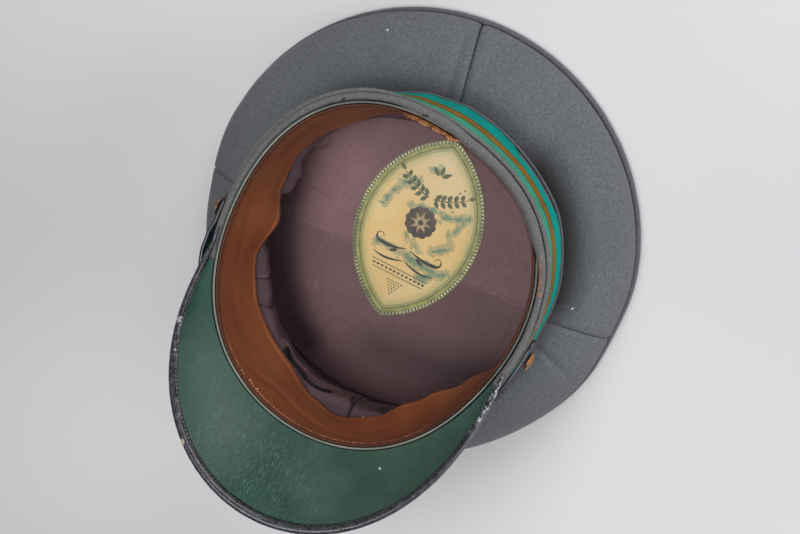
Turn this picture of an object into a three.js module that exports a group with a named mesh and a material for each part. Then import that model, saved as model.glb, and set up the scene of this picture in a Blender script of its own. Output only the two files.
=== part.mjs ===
// Peaked uniform cap lying upside down on its crown, with the opening up.
// Millimetres and degrees. +Z is up, the visor points to -Y and the wearer's right is +X.
// The origin is the middle of the crown's flat face, on the surface that the cap rests on.
import * as THREE from "three";

// Driving sizes of the head opening, an oval that tips towards the back
const openingHalfWidth = 86.4;
const openingHalfLength = 92.3;
const openingHeight = 91.3;
const openingPitch = -9.68;
const openingRoll = -0.39;
const openingX = 0.56;
const openingY = -7.06;
// How far the sewn edge strays from a true oval, as three and four waves round it
const openingWaves = [
  { count: 3, alongX: 0.99, alongY: 1.54 },
  { count: 4, alongX: -1.12, alongY: 1.07 },
];

// Driving sizes of the crown
const crownRadius = 131;
const crownSeamHeight = 4.3;
const crownSeamInset = 3.6;
const crownBulge = 6.3;
const crownBulgeSway = 2;
const crownBulgeSide = 237;
const crownBulgeHeight = 17;
const crownTopThickness = 2.2;
const panelThickness = 1.8;
// Where a side panel leaves the band, and how far it runs straight before it bellies out
const panelRootIn = 1.4;
const panelRootDrop = 1.5;
const panelStraightShare = 0.36;
const panelStepOut = 4;
const crownPipingRadius = 2;
// Where the side seams draw the crown edge in
const crownPinches = [
  { at: -4, depth: 1.9, width: 11 },
  { at: 191, depth: 2.2, width: 14 },
];
// The seams between the side panels, by their angle at the band and at the crown edge
const panelSeams = [
  { side: "right", band: 5.4, crown: -4.4 },
  { side: "back", band: 89.5, crown: 92.1 },
  { side: "left", band: 175.4, crown: 184 },
  { side: "front", band: 270, crown: 270 },
  { side: "right", band: 365.4, crown: 355.6 },
];

// Driving sizes of the band, measured outwards from the opening and down from it
const bandHeight = 47.2;
const bandThickness = 1.6;
const bandFootOut = 3;
const bandFootDepth = 7.3;
const rollRadius = 2;
const rollOut = 3.15;
const lowerPipingRadius = 1.3;
const lowerPipingOut = 4.5;
const lowerPipingDepth = 5.6;
const lowerPipingNest = 0.2;
const ribbonThickness = 1;
const ribbonMargin = 0.4;
const weltRadius = 0.9;
const weltIn = 0.5;
// How far the band flares out at the crown, least in front
const bandFlare = [
  { at: 0, out: 5.2 },
  { at: 22, out: 7.6 },
  { at: 45, out: 10.6 },
  { at: 84, out: 13.9 },
  { at: 97, out: 12 },
  { at: 112, out: 8.3 },
  { at: 180, out: 8 },
  { at: 225, out: 5 },
  { at: 270, out: 3.6 },
  { at: 320, out: 3.6 },
];

// Driving sizes of the sweatband and reed
const sweatbandDepth = 41;
const sweatbandThickness = 1.3;
const sweatbandCurl = 1.6;
const sweatbandLip = 0.5;
const reedRadius = 0.8;
const reedOut = 0.05;
const reedLift = 0.2;
const leatherGap = 1.1;
// How far the free edge of the sweatband leans into the hollow
const sweatbandLean = [
  { at: 8, lean: 4.3 },
  { at: 60, lean: 4.5 },
  { at: 108, lean: 3.4 },
  { at: 126, lean: 7 },
  { at: 150, lean: 4.6 },
  { at: 165, lean: 8 },
  { at: 179, lean: 15.4 },
  { at: 195, lean: 8.4 },
  { at: 209, lean: 10.4 },
  { at: 226, lean: 13 },
  { at: 243, lean: 14.4 },
  { at: 262, lean: 8.6 },
  { at: 273, lean: 5.8 },
  { at: 290, lean: 10.4 },
  { at: 304, lean: 16 },
  { at: 316, lean: 15.8 },
  { at: 331, lean: 10.4 },
  { at: 347, lean: 3.6 },
];

// Driving sizes of the lining
const liningThickness = 0.9;
const liningClearance = 1;
const liningRadius = 103;
const liningY = -4;
const liningFloor = 4.8;
const liningTipInset = 1.1;
// Depths where the side lining is sewn in, hangs, and turns in below the leather, and how it spreads
const liningStart = 21;
const liningHang = 31;
const liningTurn = 1.5;
const liningDrop = 6.5;
const liningSag = 0.15;
const liningSpread = 1.5;
// How far the loose side lining bellies in below the sweatband
const liningBelly = [
  { at: 0, belly: 4 },
  { at: 60, belly: 5 },
  { at: 120, belly: 7 },
  { at: 150, belly: 7 },
  { at: 178, belly: 13 },
  { at: 192, belly: 13.5 },
  { at: 208, belly: 16.8 },
  { at: 224, belly: 17.8 },
  { at: 240, belly: 17 },
  { at: 256, belly: 18.6 },
  { at: 276, belly: 15.6 },
  { at: 292, belly: 14.6 },
  { at: 312, belly: 13 },
  { at: 336, belly: 7 },
];

// Driving sizes of the label, a pointed oval
const labelHalfLength = 58.2;
const labelHalfWidth = 37.8;
const labelBorderWidth = 4.2;
const labelThickness = 0.4;
const labelX = 0.9;
const labelY = 3.5;
const labelTurn = -3.3;

// Driving sizes of the visor
const visorReach = 55.65;
const visorSlope = 46.3;
const visorSpan = 82.16;
const visorFullness = 1.09;
const visorRootOut = 3;
const visorRootLift = 0.4;
const visorForwardShare = 0.45;
const visorSheet = 1.3;
const visorHollow = 2;
const visorHollowReach = 30;
const visorSheetShare = 0.9;
const bindingHalfWidth = 2.65;
const bindingHalfThickness = 2.1;
const bindingFullReach = 9;
const bindingEndScale = 0.4;
const bindingEndLift = 1.5;
const bindingLeftShare = -1.035;
const bindingRightShare = 0.96;

// Driving sizes of the chin strap and its buttons
const strapHalfWidth = 6.5;
const strapThickness = 2.3;
const strapDepth = 11.2;
const strapEndLength = 6;
const strapEndRound = 0.8;
const buttonRadius = 5.6;
const buttonHeight = 3;
const buttonGap = 0.4;
const buttonRightAt = -4.5;
const buttonLeftAt = -180.5;
// How far out from the opening the middle of the strap runs, and the angle it runs at
const strapRoute = [
  { at: -186, out: 7.3 },
  { at: -177, out: 7.8 },
  { at: -171, out: 10 },
  { at: -166, out: 11 },
  { at: -150, out: 10 },
  { at: -120, out: 8.6 },
  { at: -60, out: 8 },
  { at: -24, out: 7.3 },
  { at: 2, out: 7.2 },
];

// Gaps between pieces that touch on the real cap, and how finely round pieces are cut
const seatGap = 0.3;
const seamGap = 0.4;
const ringStations = 54;
const { degToRad, clamp, lerp, smoothstep } = THREE.MathUtils;

// Value of a table's column at an angle, rounded smoothly from row to row and round the full turn
function roundTable(table, column, angle) {
  const turn = ((angle - table[0].at) % 360 + 360) % 360 + table[0].at;
  const next = table.findIndex((row) => row.at > turn);
  const upper = next < 0 ? { ...table[0], at: table[0].at + 360 } : table[next];
  const lower = next < 0 ? table[table.length - 1] : table[next - 1];
  return lerp(lower[column], upper[column], smoothstep(turn, lower.at, upper.at));
}

// The point of the sewn edge at an angle, moved outwards by out
function openingPoint(angle, out) {
  const turn = degToRad(angle);
  let stray = 0;
  for (const wave of openingWaves) {
    stray += wave.alongX * Math.cos(wave.count * turn) + wave.alongY * Math.sin(wave.count * turn);
  }
  const size = 1 + stray / ((openingHalfWidth + openingHalfLength) / 2);
  const edge = new THREE.Vector2(openingHalfWidth * Math.cos(turn), openingHalfLength * Math.sin(turn));
  return edge.multiplyScalar(size).addScaledVector(openingOutward(angle), out);
}

function openingOutward(angle) {
  const turn = degToRad(angle);
  return new THREE.Vector2(Math.cos(turn) / openingHalfWidth, Math.sin(turn) / openingHalfLength).normalize();
}

// A point of the head piece in its own tipped frame, out from the sewn edge and up from it
function headPoint(angle, out, up) {
  const flat = openingPoint(angle, out);
  return new THREE.Vector3(flat.x, flat.y, up);
}

const headPiece = new THREE.Group();
headPiece.rotation.set(degToRad(openingPitch), degToRad(openingRoll), 0, "YXZ");
headPiece.position.set(openingX, openingY, openingHeight);
headPiece.updateMatrixWorld(true);

// The same point in the frame of the whole cap
function headPointInCap(angle, out, up) {
  return headPoint(angle, out, up).applyMatrix4(headPiece.matrixWorld);
}

function headOutwardInCap(angle) {
  const flat = openingOutward(angle);
  return new THREE.Vector3(flat.x, flat.y, 0).transformDirection(headPiece.matrixWorld);
}

function crownRadiusAt(angle) {
  let radius = crownRadius;
  for (const pinch of crownPinches) {
    const away = ((angle - pinch.at + 540) % 360) - 180;
    radius -= pinch.depth * Math.exp(-((away / pinch.width) ** 2));
  }
  return radius;
}

function crownPoint(angle, inset, up) {
  const turn = degToRad(angle);
  const radius = crownRadiusAt(angle) - inset;
  return new THREE.Vector3(radius * Math.cos(turn), radius * Math.sin(turn), up);
}

function bandTop(angle) {
  return roundTable(bandFlare, "out", angle);
}

// Outer face of the band's wall, which stands between its foot and the crown panels
function bandFace(angle, depth) {
  const share = (depth - bandFootDepth) / (bandHeight - bandFootDepth);
  return lerp(bandFootOut, bandTop(angle) - ribbonThickness - 2 * seatGap, share);
}

// Middle of the sweatband's leather at a depth below the sewn edge
function leatherMiddle(angle, depth) {
  const start = leatherGap + sweatbandThickness / 2;
  const share = Math.pow(clamp(depth / sweatbandDepth, 0, 1), sweatbandCurl);
  return -lerp(start, roundTable(sweatbandLean, "lean", angle), share);
}

// A closed solid from rows of points: each row is one section, and the faces join row to row
function solidFromSections(sections, isRing) {
  const rows = sections.length;
  const width = sections[0].length;
  const positions = sections.flat().flatMap((point) => point.toArray());
  const triangles = [];
  const joined = isRing ? rows : rows - 1;
  for (let row = 0; row < joined; row += 1) {
    for (let column = 0; column < width; column += 1) {
      const a = row * width + column;
      const b = row * width + (column + 1) % width;
      const c = ((row + 1) % rows) * width + column;
      const d = ((row + 1) % rows) * width + (column + 1) % width;
      triangles.push(a, b, d, a, d, c);
    }
  }
  if (!isRing) {
    const last = (rows - 1) * width;
    for (let column = 1; column < width - 1; column += 1) {
      triangles.push(0, column + 1, column, last, last + column, last + column + 1);
    }
  }
  return finishedGeometry(positions, triangles);
}

// A disc from rings of points, from the middle of its lower face round the edge to the middle of its upper
function discFromRings(lowerMiddle, rings, upperMiddle) {
  const width = rings[0].length;
  const positions = [lowerMiddle, ...rings.flat(), upperMiddle].flatMap((point) => point.toArray());
  const upper = rings.length * width + 1;
  const triangles = [];
  for (let column = 0; column < width; column += 1) {
    const next = (column + 1) % width;
    const rim = upper - width;
    triangles.push(0, 1 + next, 1 + column, upper, rim + column, rim + next);
    for (let ring = 0; ring < rings.length - 1; ring += 1) {
      const base = 1 + ring * width;
      triangles.push(base + column, base + next, base + width + next);
      triangles.push(base + column, base + width + next, base + width + column);
    }
  }
  return finishedGeometry(positions, triangles);
}

// Turns the faces outwards if the points ran the other way round
function finishedGeometry(positions, triangles) {
  const corner = (index) => new THREE.Vector3().fromArray(positions, index * 3);
  let volume = 0;
  for (let face = 0; face < triangles.length; face += 3) {
    const [a, b, c] = triangles.slice(face, face + 3).map(corner);
    volume += a.dot(b.cross(c));
  }
  const geometry = new THREE.BufferGeometry();
  geometry.setAttribute("position", new THREE.Float32BufferAttribute(positions, 3));
  geometry.setIndex(volume < 0 ? triangles.reverse() : triangles);
  geometry.computeVertexNormals();
  return geometry;
}

function ringAngles(count = ringStations) {
  return Array.from({ length: count }, (_, index) => (360 * index) / count);
}

function spacedValues(start, end, count) {
  return Array.from({ length: count }, (_, index) => lerp(start, end, index / (count - 1)));
}

// A cord of round section, whose middle is given by pointAt and whose section lies across it
function roundRing(pointAt, outwardAt, radius, sides) {
  const up = new THREE.Vector3(0, 0, 1);
  return solidFromSections(ringAngles().map((angle) => {
    const middle = pointAt(angle);
    const outward = outwardAt(angle);
    return Array.from({ length: sides }, (_, side) => {
      const turn = (2 * Math.PI * (side + 0.5)) / sides;
      return middle.clone()
        .addScaledVector(outward, radius * Math.cos(turn))
        .addScaledVector(up, radius * Math.sin(turn));
    });
  }), true);
}

function outwardInHead(angle) {
  const flat = openingOutward(angle);
  return new THREE.Vector3(flat.x, flat.y, 0);
}

function outwardInCrown(angle) {
  return new THREE.Vector3(Math.cos(degToRad(angle)), Math.sin(degToRad(angle)), 0);
}

function piece(name, geometry, color, roughness, metalness = 0) {
  const mesh = new THREE.Mesh(geometry, new THREE.MeshStandardMaterial({ color, roughness, metalness }));
  mesh.name = name;
  return mesh;
}

// Crown

function crownTop() {
  const rings = [
    { inset: 8, up: 0 },
    { inset: 5, up: 0.5 },
    { inset: 4.35, up: 1.7 },
    { inset: 6, up: crownTopThickness },
    { inset: 9, up: crownTopThickness },
  ].map((row) => ringAngles().map((angle) => crownPoint(angle, row.inset, row.up)));
  const geometry = discFromRings(new THREE.Vector3(), rings, new THREE.Vector3(0, 0, crownTopThickness));
  return piece("crown_top", geometry, 0x5d5f63, 0.92);
}

function crownPiping() {
  const height = crownPipingRadius + seatGap;
  const geometry = roundRing(
    (angle) => crownPoint(angle, crownPipingRadius, height),
    outwardInCrown,
    crownPipingRadius,
    8,
  );
  return piece("crown_piping", geometry, 0x5a5c60, 0.9);
}

// The outer face of a side panel: share 0 is its seam on the band, share 1 its seam on the crown edge
function panelCurve(bandAngle, crownAngle) {
  const start = headPointInCap(bandAngle, bandTop(bandAngle) - panelRootIn, -bandHeight - panelRootDrop);
  const end = crownPoint(crownAngle, crownSeamInset, crownSeamHeight);
  const leave = headOutwardInCap(bandAngle).setZ(0).normalize().multiplyScalar(panelStepOut);
  const towardsEnd = end.clone().sub(start).multiplyScalar(panelStraightShare).add(leave);
  const sway = crownBulgeSway * Math.cos(degToRad(crownAngle - crownBulgeSide));
  const bulge = crownPoint(crownAngle, -crownBulge - sway, crownBulgeHeight);
  return new THREE.CubicBezierCurve3(start, start.clone().add(towardsEnd), bulge, end);
}

function crownPanel(name, from, to) {
  const stations = Math.round((ringStations * (to.crown - from.crown)) / 360);
  const shares = [0, 0.25, 0.5, 0.7, 0.85, 1];
  const inset = THREE.MathUtils.radToDeg(seamGap / 2 / crownRadius);
  const bandAngles = spacedValues(from.band + inset, to.band - inset, stations);
  const crownAngles = spacedValues(from.crown + inset, to.crown - inset, stations);
  const sections = bandAngles.map((bandAngle, index) => {
    const curve = panelCurve(bandAngle, crownAngles[index]);
    const across = outwardInCrown(crownAngles[index] - 90);
    const outer = shares.map((share) => curve.getPoint(share));
    const inner = shares.map((share, step) => {
      const inwards = curve.getTangent(share).cross(across).normalize();
      return outer[step].clone().addScaledVector(inwards, panelThickness);
    });
    return [...outer, ...inner.reverse()];
  });
  return piece(name, solidFromSections(sections, false), 0x5f6266, 0.95);
}

function crownPanels() {
  const names = ["crown_panel_back_right", "crown_panel_back_left", "crown_panel_front_left",
    "crown_panel_front_right"];
  return names.map((name, index) => crownPanel(name, panelSeams[index], panelSeams[index + 1]));
}

// Head band

function band() {
  const rollTurns = spacedValues(215, -35, 5);
  const foot = bandHeight + weltRadius + seatGap / 2;
  const sections = ringAngles().map((angle) => [
    ...rollTurns.map((turn) => headPoint(
      angle,
      rollOut + rollRadius * Math.cos(degToRad(turn)),
      -rollRadius + rollRadius * Math.sin(degToRad(turn)),
    )),
    headPoint(angle, bandFootOut - lowerPipingNest, -2 * rollRadius),
    headPoint(angle, bandFootOut, -bandFootDepth),
    headPoint(angle, bandFace(angle, foot), -foot),
    headPoint(angle, bandFace(angle, foot) - bandThickness, -foot),
    headPoint(angle, bandFootOut - bandThickness, -bandFootDepth),
  ]);
  return piece("band", solidFromSections(sections, true), 0x7b7b7a, 0.93);
}

function bandPipingLower() {
  const geometry = roundRing(
    (angle) => headPoint(angle, lowerPipingOut, -lowerPipingDepth),
    outwardInHead,
    lowerPipingRadius,
    6,
  );
  return piece("band_piping_lower", geometry, 0x77787a, 0.93);
}

function bandPipingUpper() {
  const geometry = roundRing(
    (angle) => headPoint(angle, bandTop(angle) - weltIn, -bandHeight),
    outwardInHead,
    weltRadius,
    6,
  );
  return piece("band_piping_upper", geometry, 0x6e7073, 0.93);
}

function hatRibbon() {
  const edges = [bandFootDepth + ribbonMargin, bandHeight - weltRadius - ribbonMargin];
  const sections = ringAngles().map((angle) => [
    headPoint(angle, bandFace(angle, edges[0]) + seatGap, -edges[0]),
    headPoint(angle, bandFace(angle, edges[1]) + seatGap, -edges[1]),
    headPoint(angle, bandFace(angle, edges[1]) + seatGap + ribbonThickness, -edges[1]),
    headPoint(angle, bandFace(angle, edges[0]) + seatGap + ribbonThickness, -edges[0]),
  ]);
  return piece("hat_ribbon", solidFromSections(sections, true), 0x1f9080, 0.55);
}

// Sweatband and lining

function sweatband() {
  const depths = [-sweatbandLip, 10, 21, 31, sweatbandDepth];
  const half = sweatbandThickness / 2;
  const sections = ringAngles().map((angle) => {
    const outer = depths.map((depth) => headPoint(angle, leatherMiddle(angle, depth) + half, -depth));
    const inner = depths.map((depth) => headPoint(angle, leatherMiddle(angle, depth) - half, -depth));
    return [...outer, ...inner.reverse()];
  });
  return piece("sweatband", solidFromSections(sections, true), 0x7a4424, 0.5);
}

function sweatbandReed() {
  const geometry = roundRing((angle) => headPoint(angle, reedOut, reedLift), outwardInHead, reedRadius, 6);
  return piece("sweatband_reed", geometry, 0x95998d, 0.7);
}

// Middle of the side lining: it hangs behind the leather, bellies in below it and runs out to the tip
function liningMiddle(angle) {
  const behindLeather = (depth) => leatherMiddle(angle, depth) + sweatbandThickness / 2 + liningClearance;
  const belly = roundTable(liningBelly, "belly", angle);
  const hung = headPointInCap(angle, -belly, -sweatbandDepth - liningDrop);
  const foot = liningPoint(angle, 0, liningFloor + liningThickness / 2);
  return [
    headPointInCap(angle, behindLeather(liningStart), -liningStart),
    headPointInCap(angle, behindLeather(liningHang), -liningHang),
    headPointInCap(angle, behindLeather(sweatbandDepth), -sweatbandDepth - liningTurn),
    hung,
    hung.clone().lerp(foot, 0.35).addScaledVector(outwardInCrown(angle), -liningSag * belly),
    hung.clone().lerp(foot, 0.8).addScaledVector(outwardInCrown(angle), liningSpread),
    foot,
  ];
}

function liningPoint(angle, inset, up) {
  return outwardInCrown(angle).multiplyScalar(liningRadius - inset).add(new THREE.Vector3(0, liningY, up));
}

function liningSide() {
  const sections = ringAngles().map((angle) => {
    const middle = liningMiddle(angle);
    const across = outwardInCrown(angle + 90);
    const outwards = middle.map((point, index) => {
      const before = middle[Math.max(index - 1, 0)];
      const after = middle[Math.min(index + 1, middle.length - 1)];
      return after.clone().sub(before).cross(across).normalize().multiplyScalar(liningThickness / 2);
    });
    const inner = middle.map((point, index) => point.clone().sub(outwards[index]));
    const outer = middle.map((point, index) => point.clone().add(outwards[index]));
    return [...inner, ...outer.reverse()];
  });
  return piece("lining_side", solidFromSections(sections, true), 0x5a464d, 0.45);
}

function liningTip() {
  const rings = [
    { inset: liningTipInset, up: liningFloor },
    { inset: liningTipInset, up: liningFloor + liningThickness },
  ].map((row) => ringAngles().map((angle) => liningPoint(angle, row.inset, row.up)));
  const middle = new THREE.Vector3(0, liningY, liningFloor);
  const upper = new THREE.Vector3(0, liningY, liningFloor + liningThickness);
  return piece("lining_tip", discFromRings(middle, rings, upper), 0x67535a, 0.45);
}

// The label's outline, two arcs that meet in points
function labelOutline(Outline, inset) {
  const arcRadius = (labelHalfLength ** 2 + labelHalfWidth ** 2) / (2 * labelHalfWidth);
  const centre = arcRadius - labelHalfWidth;
  const radius = arcRadius - inset;
  const half = Math.acos(centre / radius);
  const outline = new Outline();
  outline.absarc(-centre, 0, radius, -half, half, false);
  outline.absarc(centre, 0, radius, Math.PI - half, Math.PI + half, false);
  return outline;
}

function labelPiece(name, outline, color) {
  const geometry = new THREE.ExtrudeGeometry(outline, {
    depth: labelThickness,
    bevelEnabled: false,
    curveSegments: 12,
  });
  const mesh = piece(name, geometry, color, 0.35);
  mesh.position.set(labelX, labelY, liningFloor + liningThickness + seatGap);
  mesh.rotation.z = degToRad(labelTurn);
  return mesh;
}

function label() {
  return labelPiece("label", labelOutline(THREE.Shape, labelBorderWidth + seatGap), 0xdcb981);
}

function labelBorder() {
  const outline = labelOutline(THREE.Shape, 0);
  outline.holes.push(labelOutline(THREE.Path, labelBorderWidth));
  return labelPiece("label_border", outline, 0x4d5a2e);
}

// Visor

// Reach of the visor's edge from its root, by share of its span to either side
function visorReachAt(share) {
  return visorReach * Math.pow(Math.max(Math.cos((Math.PI / 2) * share), 0), visorFullness);
}

function visorOutward(angle) {
  return outwardInHead(angle).multiplyScalar(1 - visorForwardShare)
    .add(new THREE.Vector3(0, -visorForwardShare, 0))
    .normalize();
}

// A point of the visor at a distance from its root up the slope
function visorPoint(share, distance) {
  const angle = -90 + share * visorSpan;
  const slope = degToRad(visorSlope);
  return headPoint(angle, visorRootOut, visorRootLift)
    .addScaledVector(visorOutward(angle), distance * Math.cos(slope))
    .add(new THREE.Vector3(0, 0, distance * Math.sin(slope)));
}

// Direction through the visor's thickness, from the green side to the patent leather
function visorThrough(share) {
  const slope = degToRad(visorSlope);
  return visorOutward(-90 + share * visorSpan).multiplyScalar(Math.sin(slope))
    .add(new THREE.Vector3(0, 0, -Math.cos(slope)));
}

function visorLayer(name, inner, outer, color, roughness) {
  const slope = degToRad(visorSlope);
  const steps = [0, 0.33, 0.67, 1];
  const layerPoint = (share, step, depth) => {
    const reach = visorReachAt(share) - 2 * bindingHalfWidth - seatGap;
    const through = visorThrough(share);
    const level = visorOutward(-90 + share * visorSpan).multiplyScalar(1 / Math.sin(slope));
    return visorPoint(share, step * reach)
      .addScaledVector(through, visorHollow * 4 * step * (1 - step) * Math.min(reach / visorHollowReach, 1))
      .addScaledVector(level.lerp(through, step), depth);
  };
  const sections = spacedValues(-visorSheetShare, visorSheetShare, 33).map((share) => [
    ...steps.map((step) => layerPoint(share, step, inner)),
    ...steps.map((step) => layerPoint(share, step, outer)).reverse(),
  ]);
  return piece(name, solidFromSections(sections, false), color, roughness);
}

function visorTop() {
  return visorLayer("visor_top", seatGap / 2, seatGap / 2 + visorSheet, 0x14151a, 0.18);
}

function visorUnderside() {
  return visorLayer("visor_underside", -seatGap / 2 - visorSheet, -seatGap / 2, 0x2f5240, 0.45);
}

function visorBinding() {
  const sides = 8;
  const sections = spacedValues(bindingLeftShare, bindingRightShare, 41).map((share) => {
    const reach = visorReachAt(share);
    const fullness = clamp(reach / bindingFullReach, 0, 1);
    const scale = lerp(bindingEndScale, 1, fullness);
    const halfWidth = bindingHalfWidth * scale;
    const middle = visorPoint(share, Math.max(reach - halfWidth, 0));
    middle.z += bindingEndLift * (1 - fullness);
    const slope = degToRad(visorSlope);
    const along = visorOutward(-90 + share * visorSpan).multiplyScalar(Math.cos(slope))
      .add(new THREE.Vector3(0, 0, Math.sin(slope)));
    return Array.from({ length: sides }, (_, side) => {
      const turn = (2 * Math.PI * side) / sides;
      return middle.clone()
        .addScaledVector(along, halfWidth * Math.cos(turn))
        .addScaledVector(visorThrough(share), bindingHalfThickness * scale * Math.sin(turn));
    });
  });
  return piece("visor_binding", solidFromSections(sections, false), 0x17181d, 0.3);
}

// Chin strap

function strapOut(angle) {
  const next = strapRoute.findIndex((row) => row.at >= angle);
  const upper = strapRoute[Math.max(next, 1)];
  const lower = strapRoute[Math.max(next, 1) - 1];
  return lerp(lower.out, upper.out, smoothstep(angle, lower.at, upper.at));
}

function chinStrap() {
  const first = strapRoute[0].at;
  const last = strapRoute[strapRoute.length - 1].at;
  const sections = spacedValues(first, last, 53).map((angle) => {
    const fromEnd = (Math.min(angle - first, last - angle) / 180) * Math.PI * openingHalfWidth;
    const past = 1 - clamp(fromEnd / strapEndLength, 0, 1);
    const half = strapHalfWidth * Math.sqrt(1 - strapEndRound * past ** 2);
    const inner = strapOut(angle) - strapThickness / 2;
    const outer = strapOut(angle) + strapThickness / 2;
    return [
      headPoint(angle, inner, -strapDepth + half),
      headPoint(angle, outer, -strapDepth + half),
      headPoint(angle, outer, -strapDepth - half),
      headPoint(angle, inner, -strapDepth - half),
    ];
  });
  return piece("chin_strap", solidFromSections(sections, false), 0x1b1d26, 0.4);
}

function strapButton(name, angle) {
  const profile = [
    { radius: 0, height: 0 },
    { radius: 0.7, height: 0 },
    { radius: 1, height: 0.3 },
    { radius: 0.93, height: 0.55 },
    { radius: 0.6, height: 0.88 },
    { radius: 0, height: 1 },
  ].map((row) => new THREE.Vector2(row.radius * buttonRadius, row.height * buttonHeight));
  const mesh = piece(name, new THREE.LatheGeometry(profile, 16), 0xa8743a, 0.35, 0.9);
  const out = strapOut(angle) + strapThickness / 2 + buttonGap;
  mesh.position.copy(headPoint(angle, out, -strapDepth));
  mesh.quaternion.setFromUnitVectors(new THREE.Vector3(0, 1, 0), outwardInHead(angle));
  return mesh;
}

headPiece.add(band(), bandPipingLower(), hatRibbon(), bandPipingUpper());
headPiece.add(sweatband(), sweatbandReed());
headPiece.add(visorTop(), visorUnderside(), visorBinding());
headPiece.add(chinStrap());
headPiece.add(strapButton("strap_button_right", buttonRightAt));
headPiece.add(strapButton("strap_button_left", buttonLeftAt));

const cap = new THREE.Group();
cap.name = "peaked_uniform_cap";
cap.add(crownTop(), crownPiping(), ...crownPanels());
cap.add(headPiece);
cap.add(liningSide(), liningTip(), label(), labelBorder());

export default cap;
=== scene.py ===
import math

import bpy
import numpy as np
from mathutils import Matrix, Vector


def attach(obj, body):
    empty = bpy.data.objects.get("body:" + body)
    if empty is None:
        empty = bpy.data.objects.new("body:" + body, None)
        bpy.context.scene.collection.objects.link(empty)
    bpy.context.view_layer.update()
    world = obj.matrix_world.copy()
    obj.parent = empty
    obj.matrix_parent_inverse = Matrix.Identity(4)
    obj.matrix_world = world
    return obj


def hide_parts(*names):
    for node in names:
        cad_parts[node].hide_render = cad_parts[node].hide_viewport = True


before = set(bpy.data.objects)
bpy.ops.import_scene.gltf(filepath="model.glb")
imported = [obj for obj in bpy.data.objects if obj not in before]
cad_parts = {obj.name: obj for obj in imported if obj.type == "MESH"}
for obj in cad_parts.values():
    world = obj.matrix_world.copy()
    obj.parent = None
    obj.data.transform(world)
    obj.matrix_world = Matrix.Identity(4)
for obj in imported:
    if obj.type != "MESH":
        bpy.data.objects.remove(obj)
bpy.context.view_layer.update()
print("cap frame loaded")

mm = 0.001

# camera, light and floor

photoView = {
    "lens": 66.46,
    "back": (0.18933, 0.29747, 0.93577),  # from the cap towards the camera
    "distance": 0.81315,
    "target": (-0.00054, -0.00084, 0.06),
    "roll": 20.14,
    "shiftX": 0.0167,
    "shiftY": -0.0163,
}


def newObject(name, data):
    made = bpy.data.objects.new(name, data)
    bpy.context.scene.collection.objects.link(made)
    return made


def placeCamera():
    back = Vector(photoView["back"]).normalized()
    right = Vector((0, 1, 0)).cross(back).normalized()
    up = back.cross(right)
    turn = math.radians(photoView["roll"])
    across = right * math.cos(turn) + up * math.sin(turn)
    upwards = up * math.cos(turn) - right * math.sin(turn)
    data = bpy.data.cameras.new("photoCamera")
    data.lens = photoView["lens"]
    data.sensor_width = 36
    data.sensor_fit = "HORIZONTAL"
    data.shift_x = photoView["shiftX"]
    data.shift_y = photoView["shiftY"]
    data.clip_start = 0.01
    camera = newObject("photoCamera", data)
    place = Matrix((across, upwards, back)).transposed().to_4x4()
    place.translation = Vector(photoView["target"]) + back * photoView["distance"]
    camera.matrix_world = place
    bpy.context.scene.camera = camera
    return across, upwards, back


imageRight, imageUp, imageBack = placeCamera()


studio = {
    "over": {"side": -0.36, "lift": -0.19, "near": 0.91, "size": 0.75, "power": 9.9},
    "back": {"side": 0.30, "lift": 0.75, "near": 0.59, "size": 0.7, "power": 6.6},
    "right": {"side": 0.75, "lift": -0.33, "near": 0.56, "size": 0.7, "power": 6.8},
    "sky": (0.93, 0.94, 1.0),
    "skyStrength": 0.05,
    "floorPale": (0.70, 0.685, 0.705),
    "floorDark": (0.60, 0.585, 0.605),
    "floorHalf": 2.5,
    "floorDrop": 0.0002,
}
bpy.context.scene.view_settings.view_transform = "Standard"  # the colours come out as they were mixed


def placeLight(name, row):
    data = bpy.data.lights.new(name, "AREA")
    data.shape = "SQUARE"
    data.size = row["size"]
    data.energy = row["power"]
    light = newObject(name, data)
    away = imageRight * row["side"] + imageUp * row["lift"] + imageBack * row["near"]
    light.location = Vector((0, 0, 0.05)) + away * 1.1
    light.rotation_euler = away.to_track_quat("Z", "Y").to_euler()


for lamp in ("over", "back", "right"):
    placeLight(lamp + "Light", studio[lamp])
print("camera and lights placed")

# node helpers


def startFinish(name):
    material = bpy.data.materials.new(name)
    material.use_nodes = True
    return material, material.node_tree


def feed(tree, socket, value):
    # links another node's output to a socket, or sets a plain value on it
    if isinstance(value, bpy.types.NodeSocket):
        tree.links.new(value, socket)
    else:
        socket.default_value = value


def addNode(tree, kind, inputs=None, **settings):
    made = tree.nodes.new(kind)
    for key, value in settings.items():
        setattr(made, key, value)
    for key, value in (inputs or {}).items():
        feed(tree, made.inputs[key], value)
    return made


def placeOf(tree, kind="Object"):
    return addNode(tree, "ShaderNodeTexCoord").outputs[kind]


def stretched(tree, vector, scale, turn=(0, 0, 0)):
    return addNode(tree, "ShaderNodeMapping", {"Vector": vector, "Scale": scale, "Rotation": turn}).outputs[0]


def noiseOf(tree, vector, scale, detail=3.0, roughness=0.55, distortion=0.0):
    inputs = {"Vector": vector, "Scale": scale, "Detail": detail, "Roughness": roughness,
              "Distortion": distortion}
    return addNode(tree, "ShaderNodeTexNoise", inputs).outputs["Fac"]


def rampOf(tree, value, stops):
    made = addNode(tree, "ShaderNodeValToRGB", {"Fac": value})
    ramp = made.color_ramp
    while len(ramp.elements) < len(stops):
        ramp.elements.new(0.5)
    for element, (at, colour) in zip(ramp.elements, stops):
        element.position = at
        element.color = (*colour, 1)
    return made.outputs["Color"]


def grey(level):
    return (level, level, level)


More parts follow.
